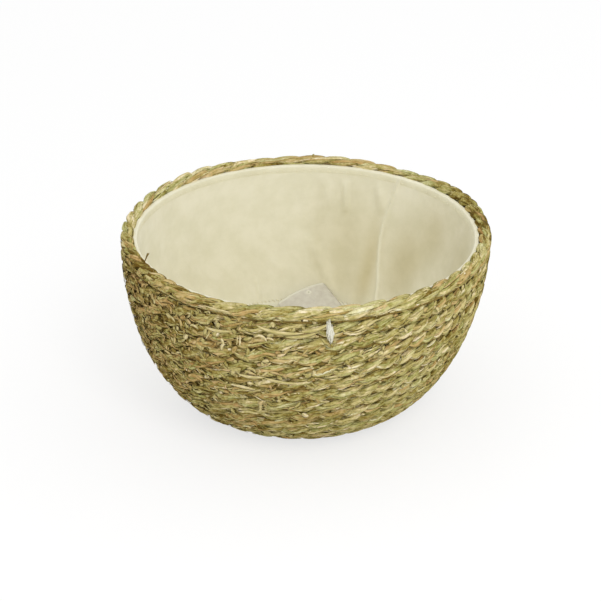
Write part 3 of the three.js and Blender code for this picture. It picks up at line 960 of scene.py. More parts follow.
# Heading against the rope: mean, least spread, and spread by unruliness. A share of the bits points back
FRAY_HEADING = 0.15
HEADING_LEAST = 0.1
HEADING_UNRULY = 0.9
BACKWARD_SHARE = 0.35
FRAY_BEND = 0.9
FRAY_ROLL = 0.3
# What is left of heading, bend and rise on the rim
RIM_HEADING = 0.2
RIM_BEND = 0.1
RIM_RISE = 0.3
FRAY_TONE_LIMITS = (0.1, 0.97)
FRAY_TAN_SHARE = 0.3
FRAY_TAN_OLD = 0.25
FRAY_TAN_DEPTHS = (0.3, 0.9)
# The root is narrow and widens fast, the tip is blunt and dips, and the roll grows from the root on
ROOT_WIDTH = 0.3
ROOT_WIDENING = 3
TIP_BLUNTNESS = 1.04
TIP_DIP = 0.3
ROOT_ROLL = 0.4


def fray_points(length, p, q, heading, bend, rise, size, width, thick, roll):
    """Points of each frayed end's closed tube, a curved strip that lies on the rope's surface.

    Its heading, measured from the rope's own direction towards the rim, turns evenly from heading to
    heading + bend. It arches off the rope as rise * sin(pi * share). Its width shrinks to its tip as the
    root of what is left of it.
    """
    share = np.linspace(0, 1, FRAY_STATIONS)[None, :]
    course = heading[:, None] + bend[:, None] * share
    step = size[:, None] / (FRAY_STATIONS - 1)
    ahead = np.cumsum(np.cos(course) * step, axis=1)
    aside = np.cumsum(np.sin(course) * step, axis=1)
    out = rise[:, None] * np.sin(np.pi * share) - TIP_DIP * share
    narrow = np.sqrt(np.clip(TIP_BLUNTNESS - share ** 2, 0, 1))
    wide = width[:, None] * narrow * np.clip(ROOT_WIDTH + ROOT_WIDENING * share, 0, 1)
    lean = roll[:, None] * (ROOT_ROLL + (1 - ROOT_ROLL) * share)
    a = wide[..., None] * FRAY_SECTION[:, 0]
    b = thick * FRAY_SECTION[:, 1]
    across = a * np.cos(lean)[..., None] - b * np.sin(lean)[..., None]
    up = a * np.sin(lean)[..., None] + b * np.cos(lean)[..., None]
    at = (length[:, None] + ahead)[..., None] - across * np.sin(course)[..., None]
    points = rope_points(
        np.clip(at, 0, ROPE_LENGTH),
        (p[:, None] + aside)[..., None] + across * np.cos(course)[..., None],
        (q[:, None] - out)[..., None] - up, FRAY_REACH, FRAY_REACH,
    )
    return points, a


def add_frays(name, source, count, sizes, widths, rises, tones, thick):
    """Frayed bits over the wall's outside, most where the rope is unruly, fewer on the lower rows.

    The rim row is trimmed: there they only lie flat on its outer side.
    """
    start = np.interp(WALL_START_TURN, PATH["turn"], PATH["length"])
    tried = source.uniform(start, ROPE_LENGTH - FRAY_FREE_END, FRAY_TRIES * count)
    low = along_path(tried, "turn") < LAST_ROW - LOW_ROWS
    unruly = along_path(tried, "disorder") * np.where(low, LOW_SHARE, 1.0)
    length = tried[source.uniform(0, KEPT_AT, FRAY_TRIES * count) < unruly][:count]
    count = len(length)
    rim = along_path(length, "turn") > RIM_TURN
    side = np.where(rim, -1.0, source.choice([-1.0, 1.0], count))
    in_groove = source.uniform(0, 1, count) < GROOVE_SHARE
    slope = np.where(in_groove, source.uniform(*NEAR_GROOVE, count), source.uniform(*NEAR_CREST, count))
    round_rope = np.radians(slope)
    thin = along_path(length, "size")
    p = side * FRAY_UP * np.cos(round_rope) * thin
    q = -FRAY_OUT * np.sin(round_rope) * thin ** THIN_POWER - source.uniform(*FRAY_DEPTHS, count)
    wild = HEADING_LEAST + HEADING_UNRULY * along_path(length, "disorder")
    heading = source.normal(FRAY_HEADING, wild) * np.where(rim, RIM_HEADING, 1.0)
    heading = heading + np.pi * (source.uniform(0, 1, count) < BACKWARD_SHARE)
    bend = source.normal(0, FRAY_BEND, count) * np.where(rim, RIM_BEND, 1.0)
    size = source.uniform(*sizes, count)
    width = source.uniform(*widths, count)
    rise = source.uniform(*rises, count) * np.where(rim, RIM_RISE, 1.0)
    roll = source.normal(0, FRAY_ROLL, count)
    points, across = fray_points(length, p, q, heading, bend, rise, size, width, thick, roll)
    # Less tone at the sides, partly darker strands and partly painted shade, as on the stems
    tone = np.clip(source.normal(*tones, count) - side_darkness_and_shade(length), *FRAY_TONE_LIMITS)
    tan_share = FRAY_TAN_SHARE + FRAY_TAN_OLD * leftness(along_path(length, "azimuth"))
    tan = (source.uniform(0, 1, count) < tan_share) * source.uniform(*FRAY_TAN_DEPTHS, count)
    shift = source.uniform(0, MAP_SHIFT, (count, 1, 1))
    run = np.linspace(0, 1, FRAY_STATIONS)[None, :, None] * size[:, None, None]
    add_rope_tubes(
        name, stem_material, points, (run + shift, across + shift),
        tone=tone[:, None, None], tan=tan[:, None, None], edge=0.0, sunk=0.0,
    )


fray_source = np.random.default_rng(SEED + 2)
for fray_name, fray_kind in FRAYS.items():
    add_frays(fray_name, fray_source, *fray_kind)


# Strands that stand out

STRAND_STATIONS = 13
STRAND_THICKNESS = 0.22
STRAND_SEAT = ROPE_RADIUS - 0.4
# Length of the surface map along a strand or a fibre
STRAND_MAP = 12
FIBRE_MAP = 8
# Pale strands on the outside: azimuth and arc of four points of a curve, then half width, height off the rope
# and tone
STRANDS = [
    (251.1, 186.6, 251.4, 184.0, 251.3, 181.0, 250.9, 178.4, 0.55, 1.1, 0.80),
    (250.3, 186.0, 250.5, 183.5, 250.4, 181.0, 250.0, 178.8, 0.45, 0.9, 0.72),
    (255.4, 186.5, 256.8, 189.8, 258.6, 188.6, 258.9, 184.4, 1.0, 1.2, 0.80),
    (258.6, 186.4, 259.6, 187.8, 260.6, 187.2, 261.0, 185.4, 0.8, 1.0, 0.74),
    (256.0, 195.0, 259.0, 191.5, 264.0, 190.0, 269.5, 191.5, 1.6, 0.6, 0.60),
    (264.0, 188.6, 267.5, 188.0, 270.5, 189.4, 273.5, 192.0, 1.3, 0.5, 0.58),
    (268.5, 192.4, 271.5, 192.4, 274.0, 194.4, 276.5, 197.6, 1.5, 0.6, 0.60),
    (249.8, 157.0, 252.0, 155.8, 255.0, 155.8, 258.0, 157.0, 1.3, 0.9, 0.74),
    (258.0, 156.6, 261.0, 154.6, 265.0, 153.4, 268.5, 153.6, 1.3, 0.8, 0.68),
    (247.0, 146.0, 250.0, 147.6, 252.6, 146.4, 255.0, 145.2, 1.3, 0.9, 0.78),
    (236.5, 204.0, 240.0, 202.4, 244.0, 201.2, 248.0, 201.0, 1.1, 0.8, 0.76),
    (240.0, 187.0, 243.0, 186.0, 246.0, 186.6, 249.0, 188.4, 1.2, 0.8, 0.66),
    (277.2, 184.4, 277.4, 183.0, 277.4, 181.8, 277.2, 180.4, 0.8, 1.2, 0.28),
]
# Stray fibres that stand up from the rim: azimuth, height over the rim's middle and depth inwards, of the
# root and of the tip, then half width and tone
STRAY_FIBRES = [
    (208.9, 3.0, 1.0, 209.3, 10.2, 4.0, 0.60, 0.02),
    (87.5, 5.0, 0.0, 87.2, 7.0, 0.2, 0.60, 0.45),
]
# The white tuft: strands that fan out from above and end in a point
TUFT_AZIMUTH = 276.3
TUFT_TOP = 201.2
TUFT_TIP = 183.0
TUFT_STRANDS = 46
TUFT_TOP_RANGE = 8.0
TUFT_TIP_RANGE = 7.0
TUFT_SPREAD = 0.4
TUFT_HALF_WIDTHS = (0.15, 0.45)
TUFT_HEIGHTS = (0.4, 1.6)
# At the four points of each strand's curve: degrees aside, share of its spread, wander, and share of the
# way down
TUFT_ASIDE = np.array([0.0, 0.4, 0.7, 1.0])
TUFT_FAN = np.array([0.8, 1.5, 1.2, 0.2])
TUFT_WANDER = np.array([0.25, 0.4, 0.35, 0.12])
TUFT_DOWN = np.array([0.0, 0.35, 0.7, 1.0])


def curve_points(corners, width, height, thick):
    """Points of each strand's closed tube along a cubic Bezier curve on the rope's outer surface.

    Its half width is width * sin(pi * share) ** 0.6, and its height off the surface is
    height * sin(pi * share) ** 0.5.
    """
    share = np.linspace(0, 1, STRAND_STATIONS)
    weights = np.stack([
        (1 - share) ** 3, 3 * share * (1 - share) ** 2, 3 * share ** 2 * (1 - share), share ** 3])
    course = np.einsum("ncd,cs->nsd", corners, weights)
    girth = np.interp(course[..., 1], LINE_ARC, LINE_RADIUS)
    ahead = np.gradient(course[..., 0], axis=1) * np.pi / 180 * girth
    upward = np.gradient(course[..., 1], axis=1)
    size = np.hypot(ahead, upward) + 1e-9
    belly = np.sin(np.pi * np.clip(share, 0.02, 0.98))
    wide = width[:, None] * belly ** 0.6
    across = wide[..., None] * FRAY_SECTION[:, 0]
    out = (height[:, None] * belly ** 0.5)[..., None] + thick * FRAY_SECTION[:, 1]
    arc = course[..., 1][..., None] + across * (ahead / size)[..., None]
    azimuth = np.radians(course[..., 0])[..., None] - across * (upward / size)[..., None] / girth[..., None]
    return bowl_points(arc, 0.0, -STRAND_SEAT - out, azimuth), across


def add_curves(name, source, corners, width, height, tone, material):
    """One piece of curved strands, each with its tone."""
    points, across = curve_points(corners, width, height, STRAND_THICKNESS)
    shift = source.uniform(0, MAP_SHIFT, (len(corners), 1, 1))
    run = np.linspace(0, STRAND_MAP, STRAND_STATIONS)[None, :, None]
    add_rope_tubes(
        name, material, points, (run + shift, across + shift),
        tone=tone[:, None, None], tan=0.0, edge=0.0, sunk=0.0,
    )


def add_strands():
    """The pale strands and the white tuft that stand out in the photograph, laid over the rope."""
    source = np.random.default_rng(SEED + 5)
    table = np.array(STRANDS)
    corners = table[:, :8].reshape(-1, 4, 2)
    spread = source.normal(0, TUFT_SPREAD, (TUFT_STRANDS, 1))
    top = TUFT_TOP - source.uniform(0, TUFT_TOP_RANGE, (TUFT_STRANDS, 1))
    tip = TUFT_TIP + source.uniform(0, TUFT_TIP_RANGE, (TUFT_STRANDS, 1))
    wander = source.normal(0, 1, (TUFT_STRANDS, 4)) * TUFT_WANDER
    tuft = np.stack([
        TUFT_AZIMUTH + TUFT_ASIDE + TUFT_FAN * spread + wander, top + (tip - top) * TUFT_DOWN], axis=-1)
    add_curves("rope_pale_strands", source, corners, table[:, 8], table[:, 9], table[:, 10], stem_material)
    width = source.uniform(*TUFT_HALF_WIDTHS, TUFT_STRANDS)
    height = source.uniform(*TUFT_HEIGHTS, TUFT_STRANDS)
    add_curves("rope_white_tuft", source, tuft, width, height, np.ones(TUFT_STRANDS), bleached_material)


def add_stray_fibres():
    """Short stiff fibres that stand up from the rim, each a straight tube that thickens to a knot at its tip.

    Its radius is half width * (0.8 + 0.8 * share ** 4).
    """
    table = np.array(STRAY_FIBRES)
    share = np.linspace(0, 1, STRAND_STATIONS)
    course = table[:, None, 0:3] + (table[:, None, 3:6] - table[:, None, 0:3]) * share[:, None]
    turn = np.linspace(0, 2 * np.pi, len(FRAY_SECTION), endpoint=False)
    radius = (table[:, 6, None] * (0.8 + 0.8 * share ** 4))[..., None]
    azimuth = np.radians(course[..., 0])[..., None] + radius * np.cos(turn) / (RIM_DIAMETER / 2)
    depth = course[..., 2][..., None] + radius * np.sin(turn)
    add_rope_tubes(
        "rope_stray_fibres", stem_material, bowl_points(RIM_ARC, course[..., 1][..., None], depth, azimuth),
        (share[:, None] * FIBRE_MAP, turn), tone=table[:, 7, None, None], tan=0.0, edge=0.0, sunk=0.0,
    )


add_strands()
add_stray_fibres()


# Thread between the rows

ROW_STITCH = 12.0
ROW_STITCH_SWING = 2.2
ROW_THREAD_SIDES = 5
ROW_THREAD_STEP = 3.0
ROW_THREAD_START = 0.1


def add_row_thread():
    """Twine in the groove inside the rows, swinging from row to row in a triangle wave, once every stitch."""
    first = np.interp(ROW_THREAD_START, PATH["turn"], PATH["length"])
    last = np.interp(RIM_TURN, PATH["turn"], PATH["length"])
    length = np.linspace(first, last, int((last - first) / ROW_THREAD_STEP))[:, None]
    swing = ROW_STITCH_SWING * (2 / np.pi) * np.arcsin(np.sin(2 * np.pi * length / ROW_STITCH))
    turn = np.linspace(0, 2 * np.pi, ROW_THREAD_SIDES, endpoint=False)
    points = bowl_points(
        along_path(length, "arc") + ROW_PITCH / 2, swing + ROW_THREAD_RADIUS * np.cos(turn),
        ROW_THREAD_DEPTH + ROW_THREAD_RADIUS * np.sin(turn), along_path(length, "azimuth"))[None]
    twine = make_mesh("row_twine", points, tube_faces(points))
    add_piece(twine, twine_material, "row_stitch_thread")


add_row_thread()


# Lining

LINING_TOP_ARC = RIM_ARC + LINING_RISE
HEM_BOTTOM_ARC = LINING_TOP_ARC - HEM_WIDTH
# Mean radius of the lining, by which azimuths become lengths on the cloth laid flat
LINING_RADIUS = 108.0
LINING_ROUND = 2 * np.pi * LINING_RADIUS
WALL_COLUMNS = 900
WALL_ROWS = 64
BACK_ROWS = 12
CLOTH_MARGIN = 6.0
# Half of the gap between the two cloths, which are sewn edge to edge
CLOTH_BUTT = 0.02
# Rows of points close to that edge, by their distance from it
EDGE_ROWS = (0.25, 0.08)

# Folds of the wall cloth: azimuth and arc of both ends, half width and height, as a maker would mark them
FOLDS = [
    (74.5, 190.0, 73.8, 170.0, 2.6, 1.9),
    (82.5, 193.0, 80.0, 172.0, 4.0, 1.1),
    (91.0, 192.0, 87.0, 160.0, 6.0, 1.0),
    (62.0, 196.0, 59.0, 174.0, 3.5, 1.7),
    (87.0, 142.0, 76.0, 106.0, 4.5, 1.7),
    (33.0, 184.0, 46.0, 126.0, 9.0, 1.7),
    (68.0, 168.0, 64.0, 112.0, 9.0, 1.4),
    (126.0, 124.0, 118.0, 112.0, 9.0, 1.5),
    (111.0, 112.0, 111.0, 97.0, 2.2, 1.4),
    (104.0, 128.0, 99.0, 118.0, 3.0, 0.6),
    (140.0, 178.0, 146.0, 130.0, 10.0, 1.2),
    (165.0, 190.0, 160.0, 150.0, 7.0, 0.9),
    (12.0, 185.0, 18.0, 130.0, 8.0, 1.4),
    (345.0, 190.0, 350.0, 140.0, 9.0, 1.2),
    (300.0, 188.0, 306.0, 130.0, 8.0, 1.3),
    (262.0, 190.0, 255.0, 120.0, 10.0, 1.3),
    (222.0, 185.0, 228.0, 135.0, 8.0, 1.2),
    (190.0, 175.0, 196.0, 120.0, 9.0, 1.4),
]
# A fold's height at its ends, as a share of its middle's, and the length under the top edge over which all
# folds fade out
FOLD_END_HEIGHT = 0.55
FOLD_FADE = 14
# The cloth's slow waving: how many waves round the bowl, the arc over which they slant, and height
SLOW_WAVES = (3, 5, 8, 13)
SLOW_SLANTS = (14, 40)
SLOW_HEIGHT = 0.45
# Puckers under the hem and at the base's seam: how many, how far they reach from it, and height
HEM_PUCKERS = 61
HEM_PUCKER_REACH = 7
HEM_PUCKER_HEIGHT = 0.12
BASE_PUCKERS = 47
BASE_PUCKER_REACH = 8
BASE_PUCKER_HEIGHT = 0.15

# Painted shade on the wall cloth, in its hollows and where it is turned from the light: azimuth, arc, half
# width round the wall, half width up it, and depth of shade
PAINTED_SHADES = [
    (71.0, 145.0, 26.0, 38.0, 0.38),
    (60.5, 126.0, 7.0, 32.0, 0.42),
    (44.0, 138.0, 18.0, 34.0, 0.56),
    (32.0, 172.0, 14.0, 24.0, 0.36),
    (10.0, 165.0, 28.0, 44.0, 0.33),
    (84.5, 150.0, 6.0, 40.0, 0.10),
    (66.0, 108.0, 30.0, 16.0, 0.22),
    (160.0, 122.0, 110.0, 34.0, 0.17),
    (100.0, 114.0, 50.0, 26.0, 0.10),
]


def round_cloth(azimuth, middle):
    """Length on the flat cloth from a middle in degrees to an azimuth, the shorter way round."""
    apart = (azimuth - math.radians(middle)) * LINING_RADIUS
    return (apart + LINING_ROUND / 2) % LINING_ROUND - LINING_ROUND / 2


def hollow_shade(azimuth, arc):
    """Painted shade of the wall cloth, from 0 to 1: a sum of bells, depth * exp(-(dx / w) ** 2 - (dy / h) **
    2).
    """
    total = np.zeros(np.broadcast(azimuth, arc).shape)
    for at_azimuth, at_arc, wide, tall, depth in PAINTED_SHADES:
        dx = round_cloth(azimuth, at_azimuth)
        total = total + depth * np.exp(-(dx / wide) ** 2 - ((arc - at_arc) / tall) ** 2)
    return np.clip(total, 0, 1)


def slow_waving(azimuth, arc, counts, slants, source):
    """Mean of one sine of the azimuth for each count, each slanting up the bowl by its own random length."""
    total = sum(
        np.sin(k * azimuth + arc / source.uniform(*slants) + source.uniform(0, 6)) for k in counts)
    return total / len(counts)


def base_pucker(azimuth, arc, seam_arc):
    """Fine pucker at the base's seam: height * (1 + wave * exp(-(d / reach) ** 2)), d from the seam."""
    wave = np.sin(BASE_PUCKERS * azimuth + 2 * np.sin(5 * azimuth))
    return BASE_PUCKER_HEIGHT * (1 + wave * np.exp(-((arc - seam_arc) / BASE_PUCKER_REACH) ** 2))


def fold_height(azimuth, arc):
    """How far the cloth stands off the rope: a fold is a bell across its line, height * exp(-(d / w) ** 2).

    Distances are taken on the cloth laid flat. A slow waving is added, and fine puckers at both edges.
    """
    total = np.zeros(np.broadcast(azimuth, arc).shape)
    for from_azimuth, from_arc, to_azimuth, to_arc, width, height in FOLDS:
        dx = round_cloth(azimuth, from_azimuth)
        dy = arc - from_arc
        run = np.array([round_cloth(math.radians(to_azimuth), from_azimuth), to_arc - from_arc])
        share = np.clip((dx * run[0] + dy * run[1]) / (run @ run), 0, 1)
        apart = np.hypot(dx - share * run[0], dy - share * run[1])
        ends = FOLD_END_HEIGHT + (1 - FOLD_END_HEIGHT) * np.sin(np.pi * share)
        total = total + height * np.exp(-(apart / width) ** 2) * ends
    slow = slow_waving(azimuth, arc, SLOW_WAVES, SLOW_SLANTS, np.random.default_rng(SEED + 3))
    wave = np.sin(HEM_PUCKERS * azimuth + np.sin(7 * azimuth))
    pucker = HEM_PUCKER_HEIGHT * (1 + wave * np.exp(-((arc - HEM_BOTTOM_ARC) / HEM_PUCKER_REACH) ** 2))
    fade = np.clip((LINING_TOP_ARC - arc) / FOLD_FADE, 0, 1)
    fade = fade * np.clip((arc - BASE_CLOTH_ARC) / CLOTH_MARGIN, 0, 1)
    return (total + SLOW_HEIGHT * (1 + slow)) * fade + pucker + base_pucker(azimuth, arc, BASE_CLOTH_ARC)


SEAM_HALF_WIDTH = 1.2
SEAM_HEIGHT = 0.8


def seam_azimuth(arc):
    return np.radians(np.interp(arc, SEAM_ARCS, SEAM_AZIMUTHS))


def seam_height(turned):
    """The upright seam, a narrow rounded welt: height * exp(-(d / w) ** 2), by the angle turned from it."""
    return SEAM_HEIGHT * np.exp(-(round_cloth(turned, 0.0) / SEAM_HALF_WIDTH) ** 2)


def add_lining_wall():
    """The wall cloth, one shell all round from its seam: up its back, over its top edge and down its face."""
    turned = np.linspace(0, 2 * np.pi, WALL_COLUMNS, endpoint=False)[:, None]
    low = BASE_CLOTH_ARC + CLOTH_BUTT
    back_arc = np.linspace(low, LINING_TOP_ARC, BACK_ROWS)
    face_arc = np.linspace(LINING_TOP_ARC, low + EDGE_ROWS[0], WALL_ROWS - 2)
    arc = np.concatenate([back_arc, face_arc, [low + EDGE_ROWS[1], low]])
    depth = np.repeat([CLOTH_BACK, CLOTH_FACE], [BACK_ROWS, WALL_ROWS])
    face = np.repeat([0.0, 1.0], [BACK_ROWS, WALL_ROWS])
    azimuth = seam_azimuth(arc) + turned
    welt = seam_height(turned)
    points = bowl_points(arc, 0.0, depth + fold_height(azimuth, arc) + welt * face, azimuth)
    across = np.linspace(0, LINING_ROUND, WALL_COLUMNS)[:, None]
    # Painted shade, taken off along the seam's welt so that its ridge stays pale as if lit
    hollow = hollow_shade(azimuth, arc) * (1 - welt / SEAM_HEIGHT)
    mesh = make_mesh("lining_wall_cloth", points, hoop_faces(points), (across, arc), hollow=hollow)
    return add_piece(mesh, lining_material, "lining_wall")


BASE_COLUMNS = 240
BASE_ROWS = 54
BASE_SLOW_WAVES = (2, 3, 5, 9)
BASE_SLOW_SLANTS = (9, 25)
BASE_SLOW_HEIGHT = 0.1
# The base cloth lies plain at its middle, and is at its most uneven from this far out
BASE_CALM = 20


def add_lining_base():
    """The round base cloth: a shell from its back's middle out to its edge and in to its face's middle."""
    around = np.linspace(0, 2 * np.pi, BASE_COLUMNS, endpoint=False)[:, None]
    edge = BASE_CLOTH_ARC - CLOTH_BUTT
    back_arc = np.linspace(edge / BACK_ROWS, edge, BACK_ROWS)
    face_arc = np.linspace(edge - EDGE_ROWS[0], edge / BASE_ROWS, BASE_ROWS - 2)
    arc = np.concatenate([back_arc, [edge, edge - EDGE_ROWS[1]], face_arc])
    depth = np.repeat([CLOTH_BACK, CLOTH_FACE], [BACK_ROWS, BASE_ROWS])
    slow = slow_waving(around, arc, BASE_SLOW_WAVES, BASE_SLOW_SLANTS, np.random.default_rng(SEED + 4))
    fold = (BASE_SLOW_HEIGHT * (1 + slow) + base_pucker(around, arc, edge)) * np.clip(arc / BASE_CALM, 0, 1)
    points = bowl_points(arc, 0.0, depth + fold, around).reshape(-1, 3)
    poles = bowl_points(np.zeros(2), 0.0, np.array([CLOTH_BACK, CLOTH_FACE]), 0.0)
    sides = len(arc)
    here = np.arange(BASE_COLUMNS) * sides
    after = np.roll(here, -1)
    row = np.arange(sides - 1)[:, None]
    quads = np.stack([here + row, here + row + 1, after + row + 1, after + row], axis=-1).reshape(-1, 4)
    pole = np.full(BASE_COLUMNS, len(points))
    caps = np.concatenate([
        np.stack([pole, here, after], axis=1),
        np.stack([pole + 1, after + sides - 1, here + sides - 1], axis=1)])
    uv = [np.append(arc * way, [0.0, 0.0]) for way in (np.cos(around), np.sin(around))]
    mesh = make_mesh("lining_base_cloth", np.concatenate([points, poles]), [quads, caps], uv)
    return add_piece(mesh, lining_material, "lining_base")


HEM_COLUMNS = 480
# The tape's section: drop under the lining's top edge, then how far its face and its back lie over the cloth
HEM_DROP = np.array([-0.1, 0.1, 0.55, 1.1, 2.4, 3.4, 4.4, 5.6, 6.6, 8.0])
HEM_FACE = np.array([-2.3, -1.2, -0.25, 0.06, 0.16, 0.18, 0.12, -0.02, -0.2, -0.3])
HEM_BACK = np.array([-2.8, -2.4, -1.1, -0.3, 0.0, 0.0, -0.1, -0.3, -0.45, -0.5])
HEM_SEAT = 0.02
# Its unevenness: how many waves round the bowl and how high each is, and the share of the drop that they move
HEM_WAVES = ((37, 0.3), (91, 0.25))
HEM_SWING = 0.04


def add_hem_tape():
    """The folded tape: its roll reaches back over the cloth's top edge, and its lower edge is tucked in."""
    azimuth = np.linspace(0, 2 * np.pi, HEM_COLUMNS, endpoint=False)[:, None]
    uneven = sum(height * np.sin(count * azimuth) for count, height in HEM_WAVES)
    drop = np.concatenate([HEM_DROP, HEM_DROP[::-1]])
    thick = np.concatenate([HEM_FACE, HEM_BACK[::-1]])
    arc = LINING_TOP_ARC - drop * (1 + HEM_SWING * uneven)
    depth = CLOTH_FACE + HEM_SEAT + thick + fold_height(azimuth, arc)
    points = bowl_points(arc, np.maximum(arc - RIM_ARC, 0), depth, azimuth)
    mesh = make_mesh("hem_tape_cloth", points, hoop_faces(points), (azimuth * LINING_RADIUS, arc))
    return add_piece(mesh, tape_material, "hem_tape")


STITCH_STATIONS = 7
STITCH_SIDES = 6
# Stitches along the hem: from one to the next, the share of that which shows, height over the cloth's face,
# dip of the ends and share of the thread's radius
HEM_STITCH = 4.6
HEM_STITCH_SHARE = 0.66
HEM_STITCH_SEAT = 0.55
HEM_STITCH_DIP = 0.5
HEM_STITCH_THIN = 0.6
# Stitches across the base's seam, and how far they reach to either side of it
BASE_STITCH = 4.0
BASE_STITCH_SHARE = 0.6
BASE_STITCH_SEAT = 0.65
BASE_STITCH_ASIDE = 1.0
SEAM_STITCH_DIP = 0.7
# Stitches up the wall's seam: where they start and end, from one to the next, length, seat and radius
WALL_STITCH_START = 2.0
WALL_STITCH_END = 3.0
WALL_STITCH = 3.8
WALL_STITCH_LENGTH = 2.5
WALL_STITCH_SEAT = 0.5
WALL_STITCH_THIN = 0.8


def stitch_points(from_arc, from_azimuth, to_arc, to_azimuth, depth, dip, radius):
    """One short tube for each stitch, from one point of the cloth to another, its ends dipping into it.

    The middle lies at depth, and the ends dip below it as dip * (2 * share - 1) ** 4.
    """
    share = np.linspace(0, 1, STITCH_STATIONS)[None, :, None]
    turn = np.linspace(0, 2 * np.pi, STITCH_SIDES, endpoint=False)
    run = np.stack([to_arc - from_arc, (to_azimuth - from_azimuth) * LINING_RADIUS], axis=-1)
    aside = np.stack([-run[:, 1], run[:, 0]], axis=-1) / np.linalg.norm(run, axis=1, keepdims=True)
    run, aside = run[:, None, None], aside[:, None, None]
    wide = radius * np.cos(turn)
    arc = from_arc[:, None, None] + run[..., 0] * share + aside[..., 0] * wide
    along = run[..., 1] * share + aside[..., 1] * wide
    azimuth = from_azimuth[:, None, None] + along / LINING_RADIUS
    level = depth - dip * (2 * share - 1) ** 4 + radius * np.sin(turn)
    return bowl_points(arc, 0.0, level, azimuth)


def add_stitches(name, node, points):
    """One row of stitches, as one piece."""
    return add_piece(make_mesh(name, points, tube_faces(points)), cotton_material, node)


def stitches_round(stitch):
    """Azimuth of each stitch's start on a whole round, and the angle of one stitch."""
    angle = stitch / LINING_RADIUS
    count = round(2 * np.pi / angle)
    return np.arange(count) * 2 * np.pi / count, angle


def add_cloth_threads():
    """Running stitches along the hem and the base's seam, and up the seam of the wall."""
    start, angle = stitches_round(HEM_STITCH)
    arc = np.full(len(start), LINING_TOP_ARC - HEM_THREAD_DROP)
    hem_points = stitch_points(
        arc, start, arc, start + HEM_STITCH_SHARE * angle,
        CLOTH_FACE + HEM_STITCH_SEAT, HEM_STITCH_DIP, SEAM_THREAD_RADIUS * HEM_STITCH_THIN)
    start, angle = stitches_round(BASE_STITCH)
    arc = np.full(len(start), BASE_CLOTH_ARC)
    base_points = stitch_points(
        arc - BASE_STITCH_ASIDE, start, arc + BASE_STITCH_ASIDE, start + BASE_STITCH_SHARE * angle,
        CLOTH_FACE + BASE_STITCH_SEAT, SEAM_STITCH_DIP, SEAM_THREAD_RADIUS)
    rise = np.arange(BASE_CLOTH_ARC + WALL_STITCH_START, HEM_BOTTOM_ARC - WALL_STITCH_END, WALL_STITCH)
    end = rise + WALL_STITCH_LENGTH
    wall_points = stitch_points(
        rise, seam_azimuth(rise), end, seam_azimuth(end),
        CLOTH_FACE + SEAM_HEIGHT + WALL_STITCH_SEAT, SEAM_STITCH_DIP, SEAM_THREAD_RADIUS * WALL_STITCH_THIN)
    return [
        add_stitches("hem_stitches", "hem_thread", hem_points),
        add_stitches("base_seam_stitches", "lining_base_thread", base_points),
        add_stitches("wall_seam_stitches", "lining_seam_thread", wall_points),
    ]


wall_cloth = add_lining_wall()
base_cloth = add_lining_base()
hem = add_hem_tape()
hem_stitches, base_stitches, seam_stitches = add_cloth_threads()


# Tag

TAG_COLUMNS = 41
TAG_ROWS = 53
TAG_BLOCK = 2.0
TAG_BLEND = 4.5
TAG_CURL = 4.0
# Share of the curl that the tag's lower edge has
TAG_CURL_LOW = 0.35
# Paler card: how far from the hole's middle it is paler, how far down from the top edge and over what
# width the painted highlight reaches, and how strong that highlight is
PALE_HOLE_REACH = 2.3
EDGE_HIGHLIGHT_DROP = 2.0
EDGE_HIGHLIGHT_FADE = 1.6
EDGE_HIGHLIGHT_SHARE = 0.7
TINY = 1e-9


def tag_turn():
    """Rotation of the tag: rolled in its own plane, then tipped up at the back."""
    roll, slope = math.radians(TAG_ROLL), math.radians(TAG_SLOPE)
    turn = np.array([[math.cos(roll), -math.sin(roll), 0], [math.sin(roll), math.cos(roll), 0], [0, 0, 1]])
    tip = np.array([[1, 0, 0], [0, math.cos(slope), -math.sin(slope)], [0, math.sin(slope), math.cos(slope)]])
    return tip @ turn


